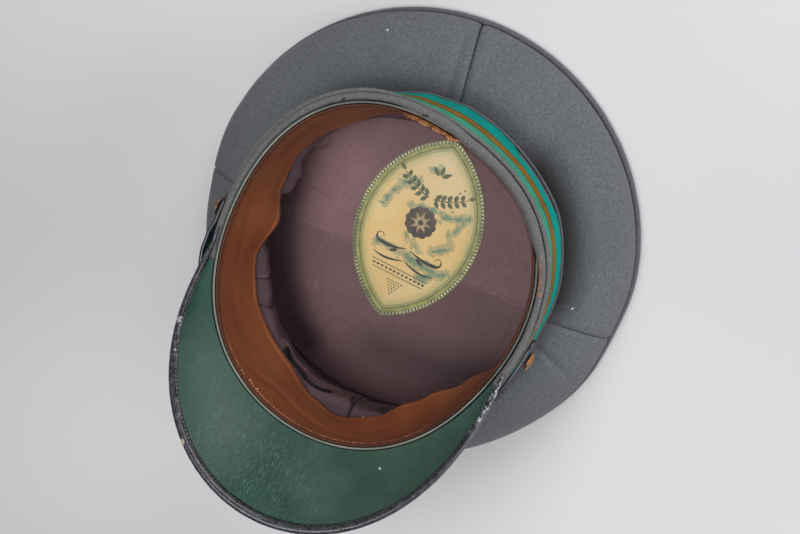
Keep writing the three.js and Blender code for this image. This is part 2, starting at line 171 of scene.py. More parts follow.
def mixOf(tree, share, first, second, blend="MIX"):
    first, second = ((*value, 1) if isinstance(value, tuple) else value for value in (first, second))
    inputs = {0: share, 6: first, 7: second}
    return addNode(tree, "ShaderNodeMix", inputs, data_type="RGBA", blend_type=blend).outputs[2]


def sumOf(tree, operation, *values):
    return addNode(tree, "ShaderNodeMath", dict(enumerate(values)), operation=operation).outputs[0]


def times(tree, first, second):
    return sumOf(tree, "MULTIPLY", first, second)


def plus(tree, first, second):
    return sumOf(tree, "ADD", first, second)


def minus(tree, first, second):
    return sumOf(tree, "SUBTRACT", first, second)


def awayFrom(tree, value, at):
    # how far a value lies from another, on either side
    return sumOf(tree, "ABSOLUTE", minus(tree, value, at))


def partsOf(tree, vector):
    return addNode(tree, "ShaderNodeSeparateXYZ", {"Vector": vector}).outputs


def rangeOf(tree, value, low, high, toLow=0.0, toHigh=1.0):
    inputs = {"Value": value, "From Min": low, "From Max": high, "To Min": toLow, "To Max": toHigh}
    return addNode(tree, "ShaderNodeMapRange", inputs).outputs[0]


def bumpOf(tree, height, distance, strength):
    inputs = {"Height": height, "Distance": distance, "Strength": strength}
    return addNode(tree, "ShaderNodeBump", inputs).outputs[0]


def cracksOf(tree, place, scale):
    inputs = {"Vector": place, "Scale": scale}
    return addNode(tree, "ShaderNodeTexVoronoi", inputs, feature="DISTANCE_TO_EDGE").outputs["Distance"]


def nearLine(tree, place, start, end, width, soft=0.5):
    # one beside the straight line from start to end (seen from above, in mm), nothing past its width
    parts = partsOf(tree, place)
    ax, ay = (value * mm for value in start)
    dx, dy = ((b - a) * mm for a, b in zip(start, end))
    px = minus(tree, parts[0], ax)
    py = minus(tree, parts[1], ay)
    reach = plus(tree, times(tree, px, dx), times(tree, py, dy))
    inputs = {0: reach, 1: dx * dx + dy * dy}
    share = addNode(tree, "ShaderNodeMath", inputs, operation="DIVIDE", use_clamp=True).outputs[0]
    offX = minus(tree, px, times(tree, share, dx))
    offY = minus(tree, py, times(tree, share, dy))
    away = sumOf(tree, "SQRT", plus(tree, times(tree, offX, offX), times(tree, offY, offY)))
    return rangeOf(tree, away, width * mm * (1 - soft), width * mm, 1.0, 0.0)


def shaded(tree, tone, low, high, share=1.0):
    # a multiplied shade: low where share is nothing, high where it is full
    return mixOf(tree, 1.0, tone, mixOf(tree, share, grey(low), grey(high)), "MULTIPLY")


def lined(tree, tone, place, lines):
    # each line: from, to, half width, how soft, how dark or light
    for start, end, width, soft, level in lines:
        tone = shaded(tree, tone, 1.0, level, nearLine(tree, place, start, end, width, soft))
    return tone


def mottled(tree, tone, pattern, low, high, dark, light):
    # multiplied by dark where the pattern is at low, and by light where it is at high
    return mixOf(tree, 1.0, tone, rampOf(tree, pattern, ((low, grey(dark)), (high, grey(light)))), "MULTIPLY")


surfaceSockets = {"rough": "Roughness", "specular": "Specular IOR Level", "sheen": "Sheen Weight",
                  "sheenRough": "Sheen Roughness", "coat": "Coat Weight", "coatRough": "Coat Roughness",
                  "metal": "Metallic"}


def finished(material, tone, bump=None, **surface):
    # closes a finish: its colour, its bump (height, depth, strength) and how it takes the light
    tree = material.node_tree
    shader = tree.nodes["Principled BSDF"]
    tree.links.new(tone, shader.inputs["Base Color"])
    if bump:
        tree.links.new(bumpOf(tree, *bump), shader.inputs["Normal"])
    for key, value in surface.items():
        feed(tree, shader.inputs[surfaceSockets[key]], value)
    return material


def takenUp(material):
    # an earlier finish to paint further: its tree and its colour so far
    tree = material.node_tree
    return tree, tree.nodes["Principled BSDF"].inputs["Base Color"].links[0].from_socket


def runOf(tree):
    # the piece's own measured map: u runs along it and v across it, in metres
    return partsOf(tree, placeOf(tree, "UV"))[:2]


# cap shape

opening = {
    "halfWidth": 86.4,
    "halfLength": 92.3,
    "height": 91.3,
    "pitch": -9.68,
    "roll": -0.39,
    "x": 0.56,
    "y": -7.06,
    "waves": ((3, 0.99, 1.54), (4, -1.12, 1.07)),
}
crown = {
    "radius": 131,
    "seamHeight": 4.3,
    "seamInset": 3.6,
    "pinches": ((-4, 1.9, 11), (191, 2.2, 14)),
    "pipingRadius": 2.0,
}
seatGap = 0.3


def easedTable(rows, at):
    # eased between rows of place and value
    start, value = np.array(rows, float).T
    step = np.clip(np.searchsorted(start, at, side="right") - 1, 0, len(start) - 2)
    share = (at - start[step]) / (start[step + 1] - start[step])
    share = share * share * (3 - 2 * share)
    return value[step] + (value[step + 1] - value[step]) * share


def roundTable(rows, angle):
    # the same table again after each full turn
    first = float(rows[0][0])
    return easedTable((*rows, (first + 360, rows[0][1])), (np.asarray(angle, float) - first) % 360 + first)


def straightTable(rows, at):
    # level past both ends
    return easedTable(rows, np.clip(np.asarray(at, float), rows[0][0], rows[-1][0]))


def stack(x, y, z):
    x, y, z = np.broadcast_arrays(x, y, z)
    return np.stack([x, y, z], -1).astype(float)


def unit(vectors):
    return vectors / np.maximum(np.linalg.norm(vectors, axis=-1, keepdims=True), 1e-9)


def openingOutward(angle):
    turn = np.radians(angle)
    return unit(stack(np.cos(turn) / opening["halfWidth"], np.sin(turn) / opening["halfLength"], 0.0))


def headOutward(angle):
    return openingOutward(angle) @ headTurn.T


def headPoint(angle, out, up):
    turn = np.radians(angle)
    stray = sum(x * np.cos(count * turn) + y * np.sin(count * turn) for count, x, y in opening["waves"])
    size = 1 + stray / ((opening["halfWidth"] + opening["halfLength"]) / 2)
    edge = stack(opening["halfWidth"] * np.cos(turn) * size, opening["halfLength"] * np.sin(turn) * size, 0.0)
    flat = openingOutward(angle)
    shape = np.broadcast_shapes(np.shape(angle), np.shape(out), np.shape(up))
    edge = np.broadcast_to(edge, (*shape, 3))
    flat = np.broadcast_to(flat, (*shape, 3))
    out = np.broadcast_to(out, shape)[..., None]
    return edge + flat * out + stack(0.0, 0.0, np.broadcast_to(up, shape))


def turnMatrix():
    pitch = math.radians(opening["pitch"])
    roll = math.radians(opening["roll"])
    return np.array(Matrix.Rotation(roll, 3, "Y") @ Matrix.Rotation(pitch, 3, "X"))


headTurn = turnMatrix()
headPlace = np.array((opening["x"], opening["y"], opening["height"]))


def inCap(points):
    return points @ headTurn.T + headPlace


def headInCap(angle, out, up):
    return inCap(headPoint(angle, out, up))


def crownRadiusAt(angle):
    radius = np.full(np.shape(angle), float(crown["radius"]))
    for at, depth, width in crown["pinches"]:
        away = (np.asarray(angle) - at + 540) % 360 - 180
        radius = radius - depth * np.exp(-((away / width) ** 2))
    return radius


def crownOutward(angle):
    turn = np.radians(angle)
    return stack(np.cos(turn), np.sin(turn), 0.0)


def crownPoint(angle, inset, up):
    radius = crownRadiusAt(angle) - inset
    turn = np.radians(angle)
    return stack(radius * np.cos(turn), radius * np.sin(turn), up)


def ripple(seed, angle, depth, counts, strength, depthPitch=30.0):
    # a soft unevenness that meets itself after a full turn
    rng = np.random.default_rng(seed)
    total = 0.0
    for count in counts:
        phase, lean, weight = rng.uniform(0, 2 * np.pi), rng.uniform(-1, 1), rng.uniform(0.5, 1)
        lean = lean * np.asarray(depth) / depthPitch * 2
        total = total + weight * np.sin(np.radians(angle) * count + phase + lean)
    return strength * total / len(counts) ** 0.5


def ringAngles(count):
    return np.arange(count) * 360.0 / count


def turnsOf(count, start=0):
    return (np.arange(count) + start) * 2 * np.pi / count


def between(value, start, end, rise, fall):
    # one from start to end, easing in over rise and out over fall
    return np.clip((value - start) / rise, 0, 1) * np.clip((end - value) / fall, 0, 1)


def lengthAlong(points):
    return np.concatenate([[0], np.cumsum(np.linalg.norm(np.diff(points, axis=0), axis=1))])


def roundLength(ring):
    return lengthAlong(np.vstack([ring, ring[:1]]))


def pointsAt(at, length, points):
    return np.stack([np.interp(at, length, points[:, axis]) for axis in range(3)], -1)


# mesh making


def meshFromSections(name, sections, ringed, across=None, along=None, crease=38):
    rows, width = sections.shape[:2]
    if across is None:
        across = lengthAlong(sections[rows // 2])
    if along is None:
        along = roundLength(sections.mean(1))
    row = np.arange(rows if ringed else rows - 1)[:, None]
    column = np.arange(width)[None, :]
    nextRow = (row + 1) % rows
    nextColumn = (column + 1) % width
    quads = np.stack([row * width + column, row * width + nextColumn,
                      nextRow * width + nextColumn, nextRow * width + column], -1).reshape(-1, 4)
    us = np.stack([along[row], along[row], along[row + 1], along[row + 1]], -1)
    us = np.broadcast_to(us, (len(row), width, 4)).reshape(-1, 4)
    vs = np.stack([across[column], across[nextColumn], across[nextColumn], across[column]], -1)
    vs = np.broadcast_to(vs, (len(row), width, 4)).reshape(-1, 4)
    points = sections.reshape(-1, 3) * mm
    corner = points[quads]
    volume = (np.cross(corner[:, 1] - corner[:, 0], corner[:, 2] - corner[:, 0]) * corner[:, 0]).sum()
    volume += (np.cross(corner[:, 2] - corner[:, 0], corner[:, 3] - corner[:, 0]) * corner[:, 0]).sum()
    faces = quads.tolist()
    uvs = np.stack([us, vs], -1).reshape(-1, 2)
    if not ringed:
        faces.append(list(range(width))[::-1])
        faces.append(list(range((rows - 1) * width, rows * width)))
        first = np.stack([np.full(width, along[0]), across[:width][::-1]], -1)
        last = np.stack([np.full(width, along[rows - 1]), across[:width]], -1)
        uvs = np.vstack([uvs, first, last])
    mesh = bpy.data.meshes.new(name)
    mesh.from_pydata(points.tolist(), [], faces)
    layer = mesh.uv_layers.new(name="measured")
    layer.data.foreach_set("uv", (uvs * mm).astype(np.float32).ravel())
    if volume < 0:
        mesh.flip_normals()
    mesh.shade_smooth()
    mesh.set_sharp_from_angle(angle=math.radians(crease))
    return newObject(name, mesh)


def gridNormals(grid, ringed):
    if ringed:
        along = np.roll(grid, -1, 0) - np.roll(grid, 1, 0)
    else:
        along = np.gradient(grid, axis=0)
    down = np.gradient(grid, axis=1)
    return unit(np.cross(along, down))


def wallSections(middle, thickness, ringed, outwardSign=1, capSteps=3):
    # a cloth or leather wall round its middle surface, with rounded edges
    normals = gridNormals(middle, ringed) * outwardSign
    half = np.asarray(thickness) / 2
    if np.ndim(half):
        half = half[..., None]
    outer = middle + normals * half
    inner = middle - normals * half
    ends = []
    for edge, before in ((-1, -2), (0, 1)):
        leave = unit(middle[:, edge] - middle[:, before])
        turns = np.linspace(0, np.pi, capSteps + 2)[1:-1]
        thick = half[:, edge] if np.ndim(half) else half
        arc = [middle[:, edge] + normals[:, edge] * (thick * math.cos(turn) * (1 if edge else -1))
               + leave * thick * math.sin(turn) for turn in turns]
        ends.append(np.stack(arc, 1))
    down = lengthAlong(middle[len(middle) // 2])
    across = np.concatenate([down, np.full(capSteps, down[-1]), down[::-1], np.zeros(capSteps)])
    return np.concatenate([outer, ends[0], inner[:, ::-1], ends[1]], 1), across


def tubeSections(middle, wide, thick, turns):
    # a tube round its middle line; wide and thick are its half axes along it
    return (middle[:, None] + wide[:, None] * np.cos(turns)[None, :, None]
            + thick[:, None] * np.sin(turns)[None, :, None])


def dress(piece, finish, slotName, *nodes):
    piece.data.materials.clear()
    piece.data.materials.append(finish)
    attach(piece, "root")
    if nodes:
        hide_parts(*nodes)
    return piece


def capsules(name, starts, ends, radius, lift, sides=6, rings=3):
    # short lengths of thread, each a little bowed along lift
    starts, ends, lift = (np.asarray(x, float) for x in (starts, ends, lift))
    shares = np.linspace(0, 1, rings + 2)
    swell = np.sqrt(np.maximum(1 - (2 * shares - 1) ** 4, 0.0))
    swell[0] = swell[-1] = 0.25
    along = unit(ends - starts)
    side = unit(np.cross(along, lift))
    top = np.cross(side, along)
    turns = turnsOf(sides)
    radius = np.broadcast_to(radius, len(starts))
    centre = (starts[:, None] + (ends - starts)[:, None] * shares[None, :, None]
              + lift[:, None] * (radius[:, None] * 1.2 * np.sin(np.pi * shares)[None, :])[..., None])
    around = (side[:, None, None] * np.cos(turns)[None, None, :, None]
              + top[:, None, None] * np.sin(turns)[None, None, :, None])
    points = centre[:, :, None] + around * (radius[:, None] * swell[None, :])[:, :, None, None]
    count, rows = len(starts), len(shares)
    base = (np.arange(count) * rows * sides)[:, None, None]
    row = np.arange(rows - 1)[None, :, None] * sides
    column = np.arange(sides)[None, None, :]
    following = (column + 1) % sides
    quads = np.stack([base + row + column, base + row + following,
                      base + row + sides + following, base + row + sides + column], -1).reshape(-1, 4)
    first = (base[:, 0] + np.arange(sides)[None, ::-1]).tolist()
    last = (base[:, 0] + (rows - 1) * sides + np.arange(sides)[None]).tolist()
    mesh = bpy.data.meshes.new(name)
    mesh.from_pydata((points.reshape(-1, 3) * mm).tolist(), [], quads.tolist() + first + last)
    mesh.shade_smooth()
    return newObject(name, mesh)


def spacedStitches(line, row):
    # evenly spaced stitches along a line: how far along, the line's own length, and their two ends
    run = lengthAlong(line)
    at = np.arange(row["margin"], run[-1] - row["margin"], row["pitch"])
    return at, run, pointsAt(at, run, line), pointsAt(at + row["length"], run, line)


# floor


def floorFinish():
    material, tree = startFinish("paleFloor")
    cloud = noiseOf(tree, placeOf(tree), 2.2, 2.0, 0.4)
    tone = rampOf(tree, cloud, ((0.35, studio["floorDark"]), (0.65, studio["floorPale"])))
    return finished(material, tone, rough=0.85, specular=0.2)


def layFloor():
    mesh = bpy.data.meshes.new("floor")
    half = studio["floorHalf"]
    corners = [(x * half, y * half, -studio["floorDrop"]) for x, y in ((-1, -1), (1, -1), (1, 1), (-1, 1))]
    mesh.from_pydata(corners, [], [(0, 1, 2, 3)])
    mesh.materials.append(floorFinish())
    floor = newObject("floor", mesh)
    world = bpy.data.worlds.new("softSky")
    world.use_nodes = True
    sky = world.node_tree.nodes["Background"]
    sky.inputs["Color"].default_value = (*studio["sky"], 1)
    sky.inputs["Strength"].default_value = studio["skyStrength"]
    bpy.context.scene.world = world


layFloor()
print("floor laid")

# grey wool crown

greyWool = {
    "dark": (0.074, 0.078, 0.086),
    "middle": (0.109, 0.1145, 0.124),
    "pale": (0.158, 0.164, 0.175),
    "fibreScale": 1500,
    "fleckScale": 640,
    "cloudScale": 14,
    "bump": 0.00016,
    "lint": (0.55, 0.57, 0.60),
    "seamShade": 0.16,  # how dark the cloth is right in a seam
    "gutterShade": 0.42,  # and where it comes out from under the band
    "rimShade": 0.30,
    "bits": ((-53.4, 106.7), (102.9, 4.3)),  # pale specks of lint that the photo shows
    # deeper shade in it at the right: from, to, half width, how dark
    "gutterDark": ((66, 68), (97, 14), 26, 0.26),
}


def woolFinish(name, row, sewn=False):
    material, tree = startFinish(name)
    place = placeOf(tree)
    fibre = noiseOf(tree, place, row["fibreScale"], 3.0, 0.65)
    fleck = noiseOf(tree, place, row["fleckScale"], 3.0, 0.65)
    cloud = noiseOf(tree, place, row["cloudScale"], 4.0, 0.5)
    both = plus(tree, times(tree, fibre, 0.45), times(tree, fleck, 0.55))
    tone = rampOf(tree, both, ((0.32, row["dark"]), (0.5, row["middle"]), (0.70, row["pale"])))
    tone = mottled(tree, tone, cloud, 0.3, 0.7, 0.92, 1.06)
    speck = addNode(tree, "ShaderNodeTexVoronoi", {"Vector": place, "Scale": 62.0})
    lot = addNode(tree, "ShaderNodeSeparateColor", {"Color": speck.outputs["Color"]}).outputs[0]
    chosen = sumOf(tree, "GREATER_THAN", lot, 0.80)
    fluff = times(tree, chosen, rangeOf(tree, speck.outputs["Distance"], 0.018, 0.03, 1.0, 0.0))
    tone = mixOf(tree, times(tree, fluff, 0.75), tone, row["lint"])
    if sewn:
        fromSeam, fromBand = runOf(tree)
        seam = rangeOf(tree, fromSeam, 0.0002, 0.0009)
        tone = shaded(tree, tone, row["seamShade"], 1.0, seam)
        gutter = rangeOf(tree, fromBand, 0.0010, 0.0120)
        tone = shaded(tree, tone, row["gutterShade"], 1.0, gutter)
        rim = rangeOf(tree, awayFrom(tree, fromBand, row["rimAt"] * mm), 0.0004, 0.0015)
        atRight = rangeOf(tree, partsOf(tree, place)[0], -0.060, 0.0)
        rimDark = times(tree, minus(tree, 1.0, rim), atRight)
        tone = shaded(tree, tone, 1.0, row["rimShade"], rimDark)
        start, end, width, dark = row["gutterDark"]
        deep = times(tree, nearLine(tree, place, start, end, width, 0.7),
                     rangeOf(tree, fromBand, 0.0025, 0.0230, 1.0, 0.0))
        tone = shaded(tree, tone, 1.0, dark, deep)
        for x, y in row["bits"]:
            tone = mixOf(tree, nearLine(tree, place, (x, y), (x + 0.3, y + 0.3), 0.6, 0.5), tone, row["lint"])
    return finished(material, tone, (both, row["bump"], 0.7), rough=0.95, specular=0.15, sheen=0.12,
                    sheenRough=0.5)


pipingRow = {**greyWool, "dark": (0.068, 0.072, 0.078), "middle": (0.100, 0.105, 0.113),
             "pale": (0.142, 0.147, 0.157)}
crownWool = woolFinish("crownWool", greyWool)
pipingWool = woolFinish("pipingWool", pipingRow)
bandRow = {**greyWool, "dark": (0.078, 0.078, 0.079), "middle": (0.118, 0.118, 0.120),
           "pale": (0.170, 0.169, 0.170)}

crownTop = {
    # each ring: share of the radius, how far in from the edge, how high
    "rings": ((0.12, 9, 0), (0.5, 9, 0), (0.85, 9, 0), (1, 8, 0), (1, 6.4, 0.12), (1, 5, 0.5), (1, 4.5, 1.1),
              (1, 4.4, 1.7), (1, 4.9, 2.3), (1, 6, 2.65), (1, 7.4, 2.6), (1, 9, 2.25), (0.8, 9, 2.2),
              (0.45, 9, 2.2), (0.1, 9, 2.2)),
    "stations": 180,
}


def makeCrownTop():
    angle = ringAngles(crownTop["stations"])
    rings = []
    for share, inset, up in crownTop["rings"]:
        ring = crownPoint(angle, inset, up)
        ring[:, :2] *= share
        rings.append(ring)
    piece = meshFromSections("crown_top_cloth", np.stack(rings, 1), True, crease=60)
    return dress(piece, crownWool, "grey_wool", "crown_top")


def makeCrownPiping():
    radius = crown["pipingRadius"]
    angle = ringAngles(360)
    lumpy = radius + ripple(3, angle, 0, (41, 57, 83, 119), 0.05)
    middle = crownPoint(angle, radius, radius + seatGap)
    wide = crownOutward(angle) * lumpy[:, None]
    sections = tubeSections(middle, wide, stack(0.0, 0.0, lumpy), turnsOf(16, 0.5))
    piece = meshFromSections("crown_piping_cord", sections, True, crease=80)
    return dress(piece, pipingWool, "piping_wool", "crown_piping")


crownPanel = {
    "names": ("back_right", "back_left", "front_left", "front_right"),
    "bandSeams": (5.4, 89.5, 175.4, 270, 365.4),
    "crownSeams": (-4.4, 92.1, 184, 270, 355.6),
    "seamThin": (1.0, 0.65, 1.8, 1.0, 1.0),  # over one for a thinner seam
    "bulge": 6.3,
    "bulgeSway": 2,
    "bulgeSide": 237,
    "bulgeHeight": 17,
    "thickness": 1.8,
    "rootIn": 1.4,
    "rootDrop": 1.5,
    "straightShare": 0.36,
    "stepOut": 4,
    "seamGap": 0.4,
    "seamRoll": 2.6,  # how far from a seam the cloth starts to turn in, and how deep it goes
    "seamDip": 1.2,
    "gutter": 1.6,  # how deep the cloth dips beside the band
    "drop": 50,  # about how far the cloth runs from the band to the crown, and along a panel
    "run": 190.0,
    "pucker": 0.22,  # how deep it puckers beside a seam, how many times, and how far that reaches
    "puckerCount": 75,
    "puckerReach": 6.0,
    "tuck": 0.9,  # how deep and how long it tucks in at the crown's edge
    "tuckFrom": 0.955,
    "tuckLength": 0.045,
    "rimIn": 2.5,  # how far the dark rim line lies from the panel's lower edge
    "stations": 132,
    "steps": 46,
}
# creases in the crown cloth: which panel, where they start and end round it and down it, how deep, how wide
crownCreases = (
    (3, 0.915, 0.0, 0.835, 0.62, 1.5, 2.0),
    (1, 0.060, 0.0, 0.030, 0.72, 1.1, 3.2),
    (0, 0.955, 0.1, 0.935, 0.85, 0.5, 3.0),
    (2, 0.10, 0.0, 0.06, 0.7, 0.7, 3.0),
)


def panelMiddle(bandAngle, crownAngle, share):
    row = crownPanel
    root = roundTable(bandFlare, bandAngle) - row["rootIn"]
    start = headInCap(bandAngle, root, -band["height"] - row["rootDrop"])
    end = crownPoint(crownAngle, crown["seamInset"], crown["seamHeight"])
    leave = headOutward(bandAngle)
    leave[..., 2] = 0
    leave = unit(leave) * row["stepOut"]
    towards = (end - start) * row["straightShare"] + leave
    sway = row["bulgeSway"] * np.cos(np.radians(crownAngle - row["bulgeSide"]))
    bulge = crownPoint(crownAngle, -row["bulge"] - sway, row["bulgeHeight"])
    share = share[None, :, None]
    start, towards, bulge, end = (x[:, None] for x in (start, towards, bulge, end))
    rest = 1 - share
    return (start * rest ** 3 + (start + towards) * 3 * rest ** 2 * share
            + bulge * 3 * rest * share ** 2 + end * share ** 3)


band = {
    "height": 47.2,
    "thickness": 1.6,
    "footOut": 3,
    "footDepth": 7.3,
    "rollRadius": 2,
    "pipingNest": 0.2,
    "weltRadius": 0.9,
    "weltIn": 0.5,
    "rubbed": (0.30, 0.125, 0.060),
    "grooveAt": 0.0098,  # the painted shade in the grooves, in metres round the roll and round the cord under it
    "cordGrooveAt": 0.0038,
    "nicks": ((-48.3, 72.6, -47.7, 74.6), (-54.6, 67.6, -53.6, 68.8), (-4.6, 82.0, -2.2, 82.6),
              (-64, 58, -62.9, 59.4)),
}
# at the back right the first roll is wider and lies over the reed and the top of the leather
rollOut = ((0, 3.15), (8, 2.7), (22, 2.7), (36, 0.9), (74, 0.9), (84, 2.1), (92, 2.1), (106, 3.15),
           (200, 3.15))
rollRadius = ((0, 2), (8, 1.75), (22, 1.8), (36, 2.85), (74, 2.85), (84, 2.75), (92, 2.75), (106, 2),
              (200, 2))
reedUp = ((0, 0.1), (24, 0.0), (33, -6.5), (76, -6.5), (84, -1.9), (94, -1.9), (106, 0.1), (200, 0.1))
lipUp = ((0, 0.1), (25, 0.0), (33, -6.0), (74, -6.0), (79, 0.9), (100, 0.9), (106, 0.1), (200, 0.1))
# the second roll stands further out and higher at the back left: how far out, how high, how thick
cordOut = ((3, 4.5), (10, 5.3), (26, 5.3), (40, 4.8), (98, 4.8), (114, 6.1), (162, 6.2), (174, 5.2),
           (184, 4.5), (340, 4.5))
cordUp = ((3, -5.6), (10, -4.5), (26, -4.5), (40, -5.4), (98, -5.4), (116, -4.3), (162, -4.3), (178, -5.6),
          (340, -5.6))
cordRadius = ((3, 1.3), (10, 1.5), (26, 1.5), (40, 1.3), (98, 1.3), (116, 1.6), (162, 1.6), (176, 1.3),
              (340, 1.3))
bandFlare = ((0, 5.2), (22, 7.6), (45, 10.6), (84, 13.9), (97, 12), (112, 8.3), (180, 8), (225, 5),
             (270, 3.6), (320, 3.6))


def makeCrownPanel(index):
    row = crownPanel
    inset = math.degrees(row["seamGap"] / 2 / crown["radius"])
    bandAngle, crownAngle = (np.linspace(seams[index] + inset, seams[index + 1] - inset, row["stations"])
                             for seams in (row["bandSeams"], row["crownSeams"]))
    share = np.linspace(0, 1, row["steps"])
    outer = panelMiddle(bandAngle, crownAngle, share)
    normals = gridNormals(outer, False)
    if (normals[len(normals) // 2, 20] * crownOutward(crownAngle[len(normals) // 2])).sum() < 0:
        normals = -normals
    # the cloth turns in at both sewn sides, and puckers a little beside them
    thinStart, thinEnd = row["seamThin"][index:index + 2]
    fromEdge = np.radians(np.minimum((crownAngle - crownAngle[0]) * thinStart,
                                     (crownAngle[-1] - crownAngle) * thinEnd)) * crown["radius"]
    turnIn = row["seamDip"] * np.maximum(1 - fromEdge / row["seamRoll"], 0) ** 2
    pucker = row["pucker"] * np.exp(-fromEdge / row["puckerReach"])[:, None]
    pucker = pucker * np.sin(share * row["puckerCount"] + index)[None, :]
    depth = share[None, :] * row["drop"]
    free = np.sin(np.pi * share)[None, :]
    sway = ripple(20 + index, crownAngle[:, None], depth, (9, 14, 19, 27), 0.28, 34) * free
    tuck = row["tuck"] * np.maximum((share - row["tuckFrom"]) / row["tuckLength"], 0)[None, :] ** 2
    gutter = row["gutter"] * np.exp(-((depth - 4) / 5.0) ** 2)
    shift = pucker * free + sway - turnIn[:, None] - tuck - gutter
    round01 = np.linspace(0, 1, row["stations"])[:, None]
    for panel, from01, fromDown, to01, toDown, deep, wide in crownCreases:
        if panel == index:
            down = np.clip((share[None, :] - fromDown) / (toDown - fromDown), 0, 1)
            away = (round01 - from01 - (to01 - from01) * down) * row["run"]
            inside = np.clip((toDown - share[None, :]) / 0.25, 0, 1)
            shift = shift - deep * inside * np.exp(-(away / wide) ** 2)
    middle = outer + normals * (shift - row["thickness"] / 2)[..., None]
    sections, across = wallSections(middle, row["thickness"], False, capSteps=2)
    length = across[:row["steps"]][-1]
    piece = meshFromSections("crown_cloth_" + row["names"][index], sections, False, across, fromEdge)
    finish = woolFinish("panelWool" + str(index), {**greyWool, "rimAt": length - row["rimIn"]}, True)
    return dress(piece, finish, "grey_wool", "crown_panel_" + row["names"][index])


makeCrownTop()
makeCrownPiping()
for panelIndex in range(4):
    makeCrownPanel(panelIndex)
print("crown sewn")

# band, welts and ribbon


def bandFace(angle, depth):
    top = roundTable(bandFlare, angle) - ribbon["thickness"] - 2 * seatGap
    share = (depth - band["footDepth"]) / (band["height"] - band["footDepth"])
    return band["footOut"] + (top - band["footOut"]) * share


ribbon = {
    "thickness": 1,
    "margin": 0.4,
    "lightTeal": (0.045, 0.275, 0.180),
    "brightTeal": (0.0, 0.275, 0.235),
    "ochre": (0.225, 0.120, 0.018),
    "ochreEdge": (0.060, 0.045, 0.018),
    # shade: painted shade along both edges of the ribbon, beside the roll and the welt
    "shade": (0.004, 0.014, 0.012),
    # its colours from the outer edge inwards, by share of its width
    "stripes": ((0.0, "shade"), (0.06, "shade"), (0.10, "lightTeal"), (0.36, "lightTeal"),
                (0.385, "ochreEdge"), (0.42, "ochre"), (0.56, "ochre"), (0.60, "ochreEdge"),
                (0.625, "brightTeal"), (0.96, "brightTeal"), (1.0, "shade")),
    "ribPitch": 1.15,
    "keptShare": 0.62,  # the part of its width that no fraying reaches
}
# how many millimetres of the outer edge are frayed away round the band
ribbonFray = ((0, 0.4), (14, 1), (26, 1.5), (34, 1), (40, 2), (44, 5), (47, 6), (56, 5.5), (61, 6), (64, 3),
              (67, 0.8), (80, 0.3), (100, 0.2), (150, 0.8), (200, 0.3), (240, 1), (300, 0.2))


def makeBand():
    angle = ringAngles(360)
    foot = band["height"] + band["weltRadius"] + seatGap / 2
    fuzz = ripple(5, angle, 0, (23, 37, 61, 97), 0.08)
    centre = roundTable(rollOut, angle)
    radius = roundTable(rollRadius, angle)
    columns = []
    for turn in np.radians(np.linspace(215, -35, 19)):
        columns.append(headPoint(angle, centre + (radius + fuzz) * np.cos(turn),
                                 -radius + (radius + fuzz) * np.sin(turn)))
    nest = band["footOut"] - band["pipingNest"] - 0.5
    columns.append(headPoint(angle, nest, -2 * band["rollRadius"] - 0.1))
    for depth in (-band["footDepth"], *np.linspace(-band["footDepth"], -foot, 9)[1:]):
        columns.append(headPoint(angle, bandFace(angle, -depth), depth))
    for depth in np.linspace(-foot, -band["footDepth"], 9):
        columns.append(headPoint(angle, bandFace(angle, -depth) - band["thickness"], depth))
    piece = meshFromSections("band_cloth", inCap(np.stack(columns, 1)), True)
    return dress(piece, bandFinish(), "band_wool", "band")


def bandFinish():
    material = woolFinish("bandRollWool", bandRow)
    tree, tone = takenUp(material)
    across = runOf(tree)[1]
    # painted shade in the groove round the roll
    groove = rangeOf(tree, awayFrom(tree, across, band["grooveAt"]), 0.0008, 0.0026)
    tone = shaded(tree, tone, 0.30, 1.0, groove)
    # rubbed through to the brown at the right, and a few dark nicks along the roll
    place = placeOf(tree)
    rubbed = noiseOf(tree, place, 210, 3.0, 0.7)
    patch = times(tree, nearLine(tree, place, (80.6, 38.0), (88.2, 20.5), 1.4, 0.4),
                  rangeOf(tree, rubbed, 0.47, 0.53))
    tone = mixOf(tree, times(tree, patch, 0.9), tone, band["rubbed"])
    for spot in band["nicks"]:
        nick = nearLine(tree, place, spot[:2], spot[2:], 1.0, 0.8)
        tone = shaded(tree, tone, 1.0, 0.25, nick)
    return finished(material, tone)


def cordFinish():
    # painted shade where it lies in against the first roll
    material = woolFinish("cordWool", bandRow)
    tree, tone = takenUp(material)
    inner = rangeOf(tree, awayFrom(tree, runOf(tree)[1], band["cordGrooveAt"]), 0.0007, 0.0018)
    return finished(material, shaded(tree, tone, 0.22, 1.0, inner))


cordAngles = ringAngles(360)


def makeHeadCord(name, out, up, radius, sides, seed, finish, slotName, node, lump=0.04):
    # a cord all the way round the head; out, up and radius are one value, or one for each of cordAngles
    lumpy = (radius + ripple(seed, cordAngles, 0, (61, 83, 127, 171), lump))[:, None]
    sections = tubeSections(headInCap(cordAngles, out, up), headOutward(cordAngles) * lumpy,
                            headTurn[:, 2] * lumpy, turnsOf(sides, 0.5))
    piece = meshFromSections(name, sections, True, crease=80)
    return dress(piece, finish, slotName, node)


